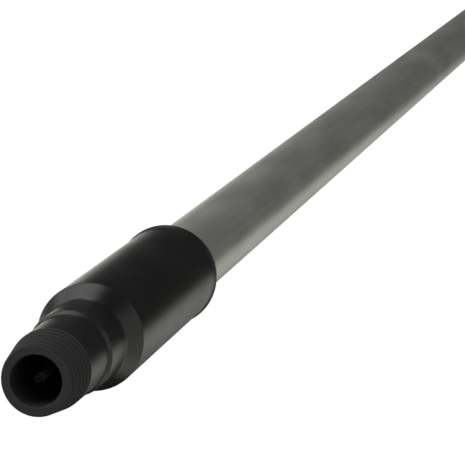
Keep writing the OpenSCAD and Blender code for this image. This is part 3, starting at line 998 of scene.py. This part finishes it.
@dataclass
class HeadSection(SubAssembly):
    """Threaded nozzle, head moulding and front tube, which the photograph shows."""

    bore_r: float = 9.05
    tip_r: float = 12.4
    tip_round: float = 0.7
    thread_back_r: float = 14.5
    thread_length: float = 17.0
    thread_pitch: float = 3.05
    thread_depth: float = 1.15
    thread_phase: float = 0.5
    thread_fade_in: float = 1.2
    thread_fade_out: float = 1.8
    thread_step: float = 0.11
    runout: float = 1.5
    neck_relief: float = 0.1
    neck_back_r: float = 14.5
    spigot_r: float = 13.0
    seal_d: float = 1.6
    seal_room: float = 0.1
    lip_r: float = 14.6
    lip_length: float = 2.0
    collar_r: float = 15.6
    collar_length: float = 17.5
    collar_round: float = 1.6
    shoulder_length: float = 11.0
    shoulder_fillet: float = 7.0
    barrel_r: float = 19.95
    barrel_round: float = 1.6
    rim_height: float = 0.6
    rim_width: float = 3.2
    rim_land: float = 0.9
    rim_foot: float = 2.0
    rim_round: float = 0.8
    pocket_r: float = 15.55
    pocket_mouth: float = 0.6
    pocket_front: float = 79.8
    chamber_r: float = 11.85
    seat_back: float = 71.0
    tube_wall: float = 1.5

    def build(self) -> None:
        """Builds the three pieces and dresses what they hold."""
        self.nozzle()
        self.moulding()
        self.tube()
        self.dress(Slot.RUBBER, "nozzle_seal", "tube_gasket")

    def nozzle(self) -> None:
        """The nozzle: a tapered thread, a smooth neck and a spigot with its seal groove."""
        whole = Extent.of("threaded_nozzle")
        socket = Extent.of("head_socket")
        neck = self.thread_length + self.runout
        seal = socket.front + self.lip_length + self.collar_length / 2.0
        corners = [
            (self.bore_r, 0.0, Edge.EASED),
            (self.tip_r, 0.0, self.tip_round),
            (self.thread_back_r, self.thread_length, Edge.BROKEN),
            (self.thread_back_r - self.neck_relief, neck, Edge.SOFT),
            (self.neck_back_r, socket.front, Edge.FLUSH),
            (self.spigot_r, socket.front, Edge.INNER),
            *seal_groove(self.spigot_r, seal, self.seal_d, self.seal_room, Edge.SEAT),
            (self.spigot_r, whole.back, Edge.SOFT),
            (self.bore_r, whole.back, Edge.MOUTH),
        ]
        outline = Outline.rounded(corners)
        thread = ScrewThread(
            start=0.0,
            end=neck,
            pitch=self.thread_pitch,
            depth=self.thread_depth,
            fade_in=self.thread_fade_in,
            fade_out=self.thread_fade_out,
            inside=(self.bore_r + self.tip_r) / 2.0,
            phase=self.thread_phase,
        )
        fine = outline.refined(self.thread_step, self.thread_step / 2.0, neck, thread.inside)
        piece = turned("nozzle_moulding", fine, segments=192, relief=thread.relief)
        place = places(piece)
        inside = np.hypot(place[:, 0], place[:, 2]) < thread.inside
        write_mask(piece.data, DULL_AND_SHADE, (place[:, 1] < neck) | inside)
        self.adopt(piece, Body.HEAD, Slot.NOZZLE, "threaded_nozzle")

    def moulding(self) -> None:
        """The head: lip, collar, filleted shoulder cone, plain barrel and flared rim.

        The fillet is a circle that leaves the collar where the shoulder starts. The cone is the
        line from the barrel's front edge that touches this circle, and foot is where it would meet
        the collar.
        """
        whole = Extent.of("head_socket")
        collar = whole.front + self.lip_length
        shoulder = collar + self.collar_length
        barrel = shoulder + self.shoulder_length
        rim = whole.back - self.rim_width
        rise = self.barrel_r - self.collar_r
        drop = self.shoulder_fillet - rise
        reach = math.hypot(self.shoulder_length, drop)
        cone = math.asin(self.shoulder_fillet / reach) - math.atan2(drop, self.shoulder_length)
        foot = shoulder + self.shoulder_fillet * math.tan(cone / 2.0)
        rim_r = self.barrel_r + self.rim_height
        spigot_bore_r = self.spigot_r + self.pocket_r - Extent.of("front_tube").radius
        corners = [
            (spigot_bore_r, whole.front, Edge.INNER),
            (self.lip_r, whole.front, Edge.FLUSH),
            (self.collar_r, collar, self.collar_round),
            (self.collar_r, foot, self.shoulder_fillet),
            (self.barrel_r, barrel, self.barrel_round),
            (self.barrel_r, rim, self.rim_foot),
            (rim_r, whole.back - self.rim_land, self.rim_round),
            (rim_r, whole.back, Edge.BROKEN),
            (self.pocket_r + self.pocket_mouth, whole.back, Edge.INNER),
            (self.pocket_r, whole.back - self.pocket_mouth, Edge.INNER),
            (self.pocket_r, self.pocket_front, Edge.INNER),
            (self.chamber_r, self.pocket_front, Edge.INNER),
            (self.chamber_r, self.seat_back, Edge.SEAT),
            (spigot_bore_r, self.seat_back, Edge.INNER),
        ]
        outline = Outline.rounded(corners)
        piece = turned("head_moulding", outline, segments=192)
        self.adopt(piece, Body.HEAD, Slot.HEAD, "head_socket")

    def tube(self) -> None:
        """The front tube, with its cut ends broken."""
        whole = Extent.of("front_tube")
        inner = whole.radius - self.tube_wall
        corners = [
            (inner, whole.front, Edge.MOUTH),
            (whole.radius, whole.front, Edge.BROKEN),
            (whole.radius, whole.back, Edge.BROKEN),
            (inner, whole.back, Edge.MOUTH),
        ]
        outline = Outline.rounded(corners)
        piece = turned("pole_tube", outline, segments=160)
        self.adopt(piece, Body.HEAD, Slot.TUBE, "front_tube")


@dataclass
class CheckValve(SubAssembly):
    """Centre pin with its return spring, and the valve pieces round them."""

    pin_r: float = 1.6
    stem_r: float = 2.0
    tip_round: float = 1.5
    shaded_tip_length: float = 0.78
    pin_travel: float = 4.0
    spring_gap: float = 0.1
    spring_wire: float = 1.2
    spring_turns: int = 6
    spring_turn_steps: int = 48

    def build(self) -> None:
        """Builds the pin and the spring, and dresses the rest."""
        self.pin()
        self.spring()
        self.dress(Slot.BRASS, "valve_poppet", "valve_seat")
        self.dress(Slot.RUBBER, "poppet_washer")
        self.dress(Slot.HEAD, "pin_guide", "spring_basket")

    def pin(self) -> None:
        """The pin with its rounded tip and the thicker stem behind the poppet."""
        whole = Extent.of("valve_pin")
        step = Extent.of("valve_spring").front - self.spring_gap
        corners = [
            (0.0, whole.front, 0.0),
            (self.pin_r, whole.front, self.tip_round),
            (self.pin_r, step, Edge.FLUSH),
            (self.stem_r, step, Edge.SEAT),
            (self.stem_r, whole.back, Edge.SOFT),
            (0.0, whole.back, 0.0),
        ]
        outline = Outline.rounded(corners)
        piece = turned("centre_pin", outline, segments=64, solid=True)
        station = places(piece)[:, 1]
        # The tip takes painted shade, and the rest of the pin takes painted light.
        write_mask(piece.data, DULL_AND_SHADE, station < whole.front + self.shaded_tip_length)
        finish = PIN_PAINTED_LIGHT_FINISH.material("pin_painted_light_and_shade")
        self.adopt(piece, Body.VALVE, Slot.HEAD, "valve_pin", finish=finish)

    def spring(self) -> None:
        """The return spring: a wire along a helix.

        The helix runs right-handed about +Y, so a point at angle t is (r cos t, s, -r sin t), and s
        climbs evenly from end to end.
        """
        whole = Extent.of("valve_spring")
        wire = self.spring_wire / 2.0
        share = np.linspace(0.0, 1.0, self.spring_turns * self.spring_turn_steps + 1)
        angle = share * self.spring_turns * FULL_TURN
        mean = whole.radius - wire
        climb = whole.front + wire + share * (whole.back - whole.front - self.spring_wire)
        path = np.stack([mean * np.cos(angle), climb, -mean * np.sin(angle)], 1)
        piece = swept("return_spring", path, wire, sides=14)
        self.adopt(piece, Body.HEAD, Slot.STEEL, "valve_spring")
        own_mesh(piece)


@dataclass
class TwistLock(SubAssembly):
    """Lock sleeve, fluted nut and wiper, with the collet pieces that they close on."""

    sleeve_r: float = 18.0
    sleeve_bore_r: float = 15.55
    sleeve_mouth: float = 0.6
    sleeve_taper: float = 7.5
    taper_round: float = 3.0
    thread_length: float = 30.0
    thread_lead: float = 3.0
    thread_depth: float = 0.8
    thread_fade_in: float = 1.5
    thread_fade_out: float = 1.0
    thread_step: float = 0.2
    nut_bore_r: float = 19.3
    nut_hole_r: float = 13.3
    nut_back_wall: float = 8.0
    nut_chamfer: float = 1.8
    nut_face_round: float = 0.8
    nut_side_round: float = 1.2
    flute_count: int = 10
    flute_depth: float = 1.8
    flute_r: float = 5.0
    flute_soft: float = 0.35
    wiper_seat_gap: float = 0.05
    wiper_bore_r: float = 13.1
    wiper_lip: float = 0.6

    def build(self) -> None:
        """Builds the sleeve, the nut and the wiper, and dresses the collet pieces."""
        self.sleeve()
        self.nut()
        self.wiper()
        self.dress(Slot.NOZZLE, "guide_bush", "lock_collet", "wedge_ring")

    def sleeve(self) -> None:
        """The sleeve on the tube, with the nut's thread round its back."""
        whole = Extent.of("lock_body")
        thread_front = whole.back - self.thread_length
        corners = [
            (self.sleeve_bore_r, whole.front, Edge.FIT),
            (self.sleeve_bore_r + self.sleeve_mouth, whole.front, Edge.MOUTH),
            (self.sleeve_r, whole.front + self.sleeve_taper, self.taper_round),
            (self.sleeve_r, thread_front, Edge.INNER),
            (whole.radius, thread_front, Edge.MOUTH),
            (whole.radius, whole.back, Edge.SOFT),
            (self.sleeve_bore_r, whole.back, Edge.INNER),
        ]
        outline = Outline.rounded(corners)
        thread = ScrewThread(
            start=thread_front,
            end=whole.back,
            pitch=self.thread_lead,
            depth=self.thread_depth,
            fade_in=self.thread_fade_in,
            fade_out=self.thread_fade_out,
            inside=(self.sleeve_r + whole.radius) / 2.0,
        )
        fine = outline.refined(self.thread_step, thread_front, whole.back, thread.inside)
        piece = turned("lock_sleeve", fine, segments=144, relief=thread.relief)
        self.adopt(piece, Body.HEAD, Slot.LOCK, "lock_body")

    def flutes(self, radius: np.ndarray, station: np.ndarray, angle: np.ndarray) -> np.ndarray:
        """Cuts round flutes into the nut.

        A flute is a cylinder along the pole. Seen from the axis at angle a from the flute's middle,
        its near side lies at d cos a - sqrt(f^2 - d^2 sin^2 a), where d is the distance of its
        centre and f its radius. The smaller of that and the nut's own radius is taken, rounded
        where they cross, on the lobes' edges.

        Args:
            radius: Radius of each vertex.
            station: Place of each vertex along the pole.
            angle: Angle of each vertex about the pole.

        Returns:
            The new radii.
        """
        nut_r = Extent.of("lock_nut").radius
        distance = nut_r - self.flute_depth + self.flute_r
        pitch = FULL_TURN / self.flute_count
        turn = angle - FULL_TURN / 4.0
        off = turn - pitch * np.round(turn / pitch)
        reach = self.flute_r**2 - (distance * np.sin(off)) ** 2
        near = distance * np.cos(off) - np.sqrt(np.maximum(reach, 0.0))
        least = soft_least(near, radius, self.flute_soft)
        return np.where((radius > self.nut_bore_r + TINY) & (reach > 0.0), least, radius)

    def nut(self) -> None:
        """The fluted nut, with its thread bore, back wall and wiper seat."""
        whole = Extent.of("lock_nut")
        wiper = Extent.of("wiper_ring")
        seat_r = wiper.radius + self.wiper_seat_gap
        wall = whole.back - self.nut_back_wall
        corners = [
            (self.nut_bore_r, whole.front, Edge.BROKEN),
            (whole.radius - self.nut_chamfer, whole.front, self.nut_face_round),
            (whole.radius, whole.front + self.nut_chamfer, self.nut_side_round),
            (whole.radius, whole.back - self.nut_chamfer, self.nut_side_round),
            (whole.radius - self.nut_chamfer, whole.back, self.nut_face_round),
            (seat_r, whole.back, Edge.INNER),
            (seat_r, wiper.front, Edge.SEAT),
            (self.nut_hole_r, wiper.front, Edge.SEAT),
            (self.nut_hole_r, wall, Edge.INNER),
            (self.nut_bore_r, wall, Edge.MOUTH),
        ]
        outline = Outline.rounded(corners)
        piece = turned("twist_nut", outline, segments=320, relief=self.flutes)
        self.adopt(piece, Body.NUT, Slot.LOCK, "lock_nut")

    def wiper(self) -> None:
        """The wiper in the nut's mouth, with a lip that leans to the tube."""
        whole = Extent.of("wiper_ring")
        corners = [
            (self.wiper_bore_r, whole.back - self.wiper_lip, Edge.FIT),
            (self.wiper_bore_r + self.wiper_lip, whole.front, Edge.SEAT),
            (whole.radius, whole.front, Edge.INNER),
            (whole.radius, whole.back, Edge.MOUTH),
            (self.wiper_bore_r + self.wiper_lip, whole.back, Edge.MOUTH),
        ]
        outline = Outline.rounded(corners)
        piece = turned("nut_wiper", outline, segments=128)
        self.adopt(piece, Body.NUT, Slot.RUBBER, "wiper_ring")


@dataclass
class HandleSection(SubAssembly):
    """Grip, grip ring and butt fitting on the handle tube, and the piston inside."""

    tube_fit_r: float = 13.05
    grip_r: float = 17.5
    grip_end_round: float = 0.9
    band_width: float = 8.0
    band_slope: float = 2.0
    band_round: float = 0.7
    rib_pitch: float = 7.0
    rib_round: float = 0.9
    groove_width: float = 2.4
    groove_floor: float = 1.2
    groove_depth: float = 0.9
    ring_foot: float = 1.2
    ring_step: float = 0.6
    ring_round: float = 1.0
    spigot_r: float = 11.45
    flow_r: float = 7.0
    seal_d: float = 1.6
    seal_room: float = 0.1
    seal_at: float = 4.8
    butt_length: float = 24.0
    butt_band: float = 9.6
    butt_shoulder: float = 12.0
    shoulder_steps: int = 24
    butt_end_r: float = 11.0
    stem_bore_r: float = 8.05
    stem_depth: float = 14.3

    def build(self) -> None:
        """Builds the grip, its ring and the butt fitting, and dresses the rest."""
        self.ring()
        self.grip()
        self.butt()
        self.dress(Slot.TUBE, "handle_tube")
        self.dress(Slot.NOZZLE, "piston_plug")
        self.dress(Slot.RUBBER, "piston_seals", "fitting_seal")
        self.dress(Slot.STEEL, "piston_pins", "fitting_pins")

    def ring(self) -> None:
        """The conical ring in front of the grip."""
        whole = Extent.of("grip_collar")
        corners = [
            (self.tube_fit_r, whole.front, Edge.FIT),
            (self.tube_fit_r + self.ring_foot, whole.front, Edge.BROKEN),
            (whole.radius, whole.back - self.ring_step, self.ring_round),
            (whole.radius, whole.back, Edge.FIT),
            (self.tube_fit_r, whole.back, Edge.FIT),
        ]
        outline = Outline.rounded(corners)
        piece = turned("grip_ring", outline, segments=128)
        self.adopt(piece, Body.HANDLE, Slot.LOCK, "grip_collar")

    def grip(self) -> None:
        """The grip: a smooth band at each end and rounded ribs between."""
        whole = Extent.of("grip_sleeve")
        ribs_front = whole.front + self.band_width
        ribs_back = whole.back - self.band_width
        count = math.floor((ribs_back - ribs_front - self.groove_width) / self.rib_pitch)
        first = (ribs_front + ribs_back - count * self.rib_pitch) / 2.0
        floor = self.grip_r - self.groove_depth
        step = self.band_slope * (whole.radius - self.grip_r)
        wide, narrow = self.groove_width / 2.0, self.groove_floor / 2.0
        grooves = [
            (r, first + i * self.rib_pitch + aside, rounding)
            for i in range(count + 1)
            for r, aside, rounding in (
                (self.grip_r, -wide, self.rib_round),
                (floor, -narrow, Edge.SOFT),
                (floor, narrow, Edge.SOFT),
                (self.grip_r, wide, self.rib_round),
            )
        ]
        corners = [
            (self.tube_fit_r, whole.front, Edge.FIT),
            (whole.radius, whole.front, self.grip_end_round),
            (whole.radius, ribs_front - step, self.band_round),
            (self.grip_r, ribs_front, self.band_round),
            *grooves,
            (self.grip_r, ribs_back, self.band_round),
            (whole.radius, ribs_back + step, self.band_round),
            (whole.radius, whole.back, self.grip_end_round),
            (self.tube_fit_r, whole.back, Edge.FIT),
        ]
        outline = Outline.rounded(corners, steps=4)
        piece = turned("hand_grip", outline, segments=96)
        self.adopt(piece, Body.HANDLE, Slot.GRIP, "grip_sleeve")

    def butt(self) -> None:
        """The butt fitting: spigot with seal groove, band, rounded shoulder and plug bore."""
        whole = Extent.of("end_fitting")
        face = whole.back - self.butt_length
        seal = whole.front + self.seal_at
        shoulder = oval_shoulder(
            self.butt_end_r,
            face + self.butt_band,
            whole.radius - self.butt_end_r,
            self.butt_shoulder,
            self.shoulder_steps,
        )
        corners = [
            (self.flow_r, whole.front, Edge.MOUTH),
            (self.spigot_r, whole.front, Edge.SOFT),
            *seal_groove(self.spigot_r, seal, self.seal_d, self.seal_room, Edge.SEAT),
            (self.spigot_r, face, Edge.SEAT),
            (whole.radius, face, Edge.EASED),
            *shoulder,
            (self.butt_end_r, whole.back, Edge.BROKEN),
            (self.stem_bore_r, whole.back, Edge.INNER),
            (self.stem_bore_r, whole.back - self.stem_depth, Edge.SEAT),
            (self.flow_r, whole.back - self.stem_depth, Edge.INNER),
        ]
        outline = Outline.rounded(corners)
        piece = turned("butt_fitting", outline, segments=128)
        self.adopt(piece, Body.HANDLE, Slot.LOCK, "end_fitting")


@dataclass
class HosePlug(SubAssembly):
    """Push-on plug at the butt: hexagon, latch groove, collar and sealed nose."""

    bore_r: float = 4.5
    stem_r: float = 8.0
    stem_length: float = 14.0
    washer_length: float = 1.6
    hex_af: float = 22.0
    hex_length: float = 6.0
    hex_chamfer: float = 1.0
    hex_soft: float = 0.3
    groove_r: float = 6.8
    groove_length: float = 6.0
    collar_r: float = 8.2
    collar_length: float = 4.0
    collar_round: float = 0.9
    nose_r: float = 6.6
    nose_length: float = 14.0
    nose_round: float = 1.0
    seal_d: float = 1.6
    seal_room: float = 0.1

    def build(self) -> None:
        """Builds the plug and dresses its washer and seal."""
        self.plug()
        self.dress(Slot.RUBBER, "plug_washer", "plug_seal")

    def flats(self, radius: np.ndarray, station: np.ndarray, angle: np.ndarray) -> np.ndarray:
        """Cuts the hexagon's flats.

        A flat at half the width across flats lies at half / cos a, where a is the angle from its
        middle. The smaller of that and the outline's radius is taken, rounded where they cross.

        Args:
            radius: Radius of each vertex.
            station: Place of each vertex along the pole.
            angle: Angle of each vertex about the pole.

        Returns:
            The new radii.
        """
        sixth = FULL_TURN / 6.0
        turn = angle - sixth / 2.0
        off = turn - sixth * np.round(turn / sixth)
        flat = self.hex_af / 2.0 / np.cos(off)
        least = soft_least(flat, radius, self.hex_soft)
        return np.where(radius > self.collar_r + TINY, least, radius)

    def plug(self) -> None:
        """The plug, turned in one piece with its chamfered hexagon."""
        whole = Extent.of("hose_plug")
        hexagon = whole.front + self.stem_length + self.washer_length
        groove = hexagon + self.hex_length
        collar = groove + self.groove_length
        nose = collar + self.collar_length
        seal = nose + self.nose_length / 2.0
        flat_r = self.hex_af / 2.0
        point_r = flat_r / math.cos(FULL_TURN / 12.0)
        corners = [
            (self.bore_r, whole.front, Edge.MOUTH),
            (self.stem_r, whole.front, Edge.SOFT),
            (self.stem_r, hexagon, Edge.SEAT),
            (flat_r, hexagon, Edge.SEAT),
            (point_r, hexagon + self.hex_chamfer, Edge.BROKEN),
            (point_r, groove - self.hex_chamfer, Edge.BROKEN),
            (flat_r, groove, Edge.SEAT),
            (self.groove_r, groove, Edge.EASED),
            (self.groove_r, collar, Edge.EASED),
            (self.collar_r, collar, Edge.EASED),
            (self.collar_r, nose, self.collar_round),
            (self.nose_r, nose, Edge.BROKEN),
            *seal_groove(self.nose_r, seal, self.seal_d, self.seal_room, Edge.FIT),
            (self.nose_r, whole.back, self.nose_round),
            (self.bore_r, whole.back, Edge.BROKEN),
        ]
        outline = Outline.rounded(corners)
        piece = turned("hose_nipple", outline, segments=240, relief=self.flats)
        self.adopt(piece, Body.HANDLE, Slot.LOCK, "hose_plug")


@dataclass(frozen=True)
class SoftCard:
    """A soft-edged patch of light on the tent, for reflections.

    Its angles are degrees: azimuth from +Y to the right, and elevation from the horizon up.
    """

    azimuth: float
    elevation: float
    half_width: float
    half_height: float
    soft: float
    level: float

    def light(self, azimuth: Wire, elevation: Wire) -> Wire:
        """The patch's light in a direction.

        It is the level, times a falling smooth step of the distance from the patch's middle in
        azimuth, times one of the distance in elevation.

        Args:
            azimuth: The direction's azimuth.
            elevation: The direction's elevation.

        Returns:
            The strength of the light.
        """
        half = self.soft / 2.0
        aside = azimuth.apart(self.azimuth).smooth(self.half_width - half, self.half_width + half)
        above = elevation.apart(self.elevation)
        above = above.smooth(self.half_height - half, self.half_height + half)
        return (1.0 - aside) * (1.0 - above) * self.level


def point_at(thing: bpy.types.Object, place: Point, aim: Point) -> None:
    """Puts a lamp or a camera into the scene and turns its -Z axis to a point.

    Args:
        thing: The lamp or the camera.
        place: Where it stands.
        aim: Where it points.
    """
    start, end = Vector(place) * MM, Vector(aim) * MM
    thing.location = start
    thing.rotation_mode = "QUATERNION"
    thing.rotation_quaternion = (end - start).to_track_quat("-Z", "Y")
    bpy.context.scene.collection.objects.link(thing)


@dataclass(frozen=True)
class SoftLamp:
    """A square lamp that is wide enough for soft shadows, with its power in watts."""

    name: str
    place: Point
    aim: Point
    size: float
    power: float
    in_reflections: bool

    def build(self) -> None:
        """Adds the lamp."""
        data = bpy.data.lights.new(self.name, "AREA")
        data.size = self.size * MM
        data.energy = self.power
        lamp = bpy.data.objects.new(self.name, data)
        lamp.visible_glossy = self.in_reflections
        point_at(lamp, self.place, self.aim)


@dataclass
class Studio:
    """White floor, soft lamps, a dark tent with pale cards and the photograph's camera.

    The pole is held by its nozzle, so the floor lies well below it. Only reflections see the tent.
    """

    camera_place: Point = (239.69, -834.37, 200.92)
    camera_aim: Point = (40.23, 130.47, 29.75)
    camera_reach: float = 100000.0
    focal_length: float = 205.25
    sensor: float = 36.0
    floor_drop: float = 600.0
    floor_radius: float = 40000.0
    floor_shares: tuple[float, ...] = (0.02, 0.1, 0.3, 1.0)
    floor_segments: int = 64
    floor_colour: Colour = (0.8, 0.8, 0.8)
    floor_shade: Colour = (0.25, 0.25, 0.25)
    floor_glow: float = 0.885
    tent_radius: float = 3000.0
    tent_rows: int = 33
    tent_segments: int = 64
    tent_colour: Colour = (0.99, 1.0, 0.925)
    tent_dark: float = 0.03
    tent_pale: float = 0.35
    tent_edges: Span = (0.1, 0.7)
    tent_top: float = 5.0
    cards: tuple[SoftCard, ...] = (
        SoftCard(-60.0, 32.0, 25.0, 12.0, 14.0, 0.9),
        SoftCard(88.0, -14.0, 44.0, 48.0, 16.0, 0.44),
        SoftCard(22.0, -14.0, 30.0, 6.0, 6.0, 0.58),
        SoftCard(36.0, -37.0, 12.0, 14.0, 8.0, 0.6),
        SoftCard(-24.0, -6.0, 12.0, 8.0, 10.0, 2.3),
        SoftCard(-100.0, 24.0, 26.0, 24.0, 20.0, 1.8),
    )
    room_light: float = 0.55
    lamps: tuple[SoftLamp, ...] = (
        SoftLamp("key_lamp", (-475.0, 893.0, 1645.0), (0.0, 70.0, 0.0), 1100.0, 5.8, True),
        SoftLamp("front_lamp", (-420.0, -300.0, 800.0), (0.0, 60.0, 0.0), 500.0, 5.5, False),
    )

    def build(self) -> None:
        """Builds everything round the object."""
        self.room()
        self.floor()
        self.tent()
        for lamp in self.lamps:
            lamp.build()
        self.camera()

    def room(self) -> None:
        """A world that is white to rays that show it, and lights the object more softly."""
        world = bpy.data.worlds.new("studio_room")
        world.use_nodes = True
        bpy.context.scene.world = world
        graph = Graph(world.node_tree)
        soft = graph.node("Background", {}, {"Color": WHITE, "Strength": self.room_light})
        white = graph.node("Background", {}, {"Color": WHITE, "Strength": 1.0})
        graph.surface(graph.blend(graph.seen_rays(), soft, white), "OutputWorld")

    def floor(self) -> None:
        """A round floor that keeps the object's shadow and is white to rays that show it.

        A vertex is given by an angle and a share of the radius, and the middle closes in a fan.
        """
        angle = np.arange(self.floor_segments) * FULL_TURN / self.floor_segments
        ring = np.array(self.floor_shares)[:, None] * self.floor_radius
        height = np.full((len(ring), len(angle)), -self.floor_drop)
        points = np.stack([ring * np.cos(angle), ring * np.sin(angle), height], 2).reshape(-1, 3)
        rings = ring_faces(*height.shape)
        centre = np.full(len(angle), len(points))
        middle = np.stack([centre, rings[0, :, 0], rings[0, :, 3]], 1)
        points = np.concatenate([points, [[0.0, 0.0, -self.floor_drop]]])
        faces = [rings[:-1].reshape(-1, 4), middle]
        piece = mesh_piece("studio_floor", points, faces, np.zeros(len(points)))
        made, graph = new_graph("studio_floor")
        plain = graph.node("BsdfDiffuse", {}, {"Color": self.floor_colour})
        shaded = graph.node("BsdfDiffuse", {}, {"Color": self.floor_shade})
        glow = graph.node("Emission", {}, {"Strength": self.floor_glow})
        white = graph.node("AddShader", {}, {0: shaded.outputs[0], 1: glow.outputs[0]})
        graph.surface(graph.blend(graph.seen_rays(), plain, white))
        piece.data.materials.append(made)
        piece.visible_glossy = False

    def tent(self) -> None:
        """A closed tent that only reflections see: dark ahead, paler behind, with soft cards.

        Its outline is a half circle from pole to pole, so it is a ball about the nozzle's face.
        """
        turn = np.linspace(-FULL_TURN / 4.0, FULL_TURN / 4.0, self.tent_rows)
        rim = np.stack([np.cos(turn), np.sin(turn)], 1) * self.tent_radius
        outline = Outline(rim, np.zeros(len(rim)))
        piece = turned("studio_tent", outline, self.tent_segments, solid=True)
        made, graph = new_graph("studio_tent")
        unit = 1.0 / (self.tent_radius * MM)
        axes = graph.node("SeparateXYZ", {}, {"Vector": graph.place((unit, unit, unit))}).outputs
        x, y, z = (Wire(graph, axes[name]) for name in "XYZ")
        azimuth = graph.math("ARCTAN2", x, y) * math.degrees(1.0)
        elevation = graph.math("ARCSINE", z) * math.degrees(1.0)
        behind = (y * -1.0).smooth(*self.tent_edges)
        level = behind * (self.tent_pale - self.tent_dark) + self.tent_dark
        for card in self.cards:
            level = level + card.light(azimuth, elevation)
        bright = tuple(c * self.tent_top for c in self.tent_colour)
        colour = graph.mix(level / self.tent_top, BLACK, bright)
        graph.surface(graph.node("Emission", {}, {"Color": colour}))
        piece.data.materials.append(made)
        piece.visible_camera = False
        piece.visible_diffuse = False
        piece.visible_transmission = False
        piece.visible_shadow = False

    def camera(self) -> None:
        """Sets the camera at the photograph's place, level and without shift."""
        data = bpy.data.cameras.new("photo_camera")
        data.lens = self.focal_length
        data.sensor_width = self.sensor
        data.clip_end = self.camera_reach * MM
        camera = bpy.data.objects.new("photo_camera", data)
        point_at(camera, self.camera_place, self.camera_aim)
        bpy.context.scene.camera = camera


def main() -> None:
    """Loads the frame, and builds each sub-assembly and the studio."""
    logging.basicConfig(level=logging.INFO, format="%(name)s: %(message)s")
    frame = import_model()
    bpy.context.scene.view_settings.view_transform = "Standard"
    materials = {slot: finish.material(slot.value) for slot, finish in FINISHES.items()}
    for kind in (HeadSection, CheckValve, TwistLock, HandleSection, HosePlug):
        kind(materials, frame["nodes"]).build()
    Studio().build()


if __name__ == "__main__":
    main()
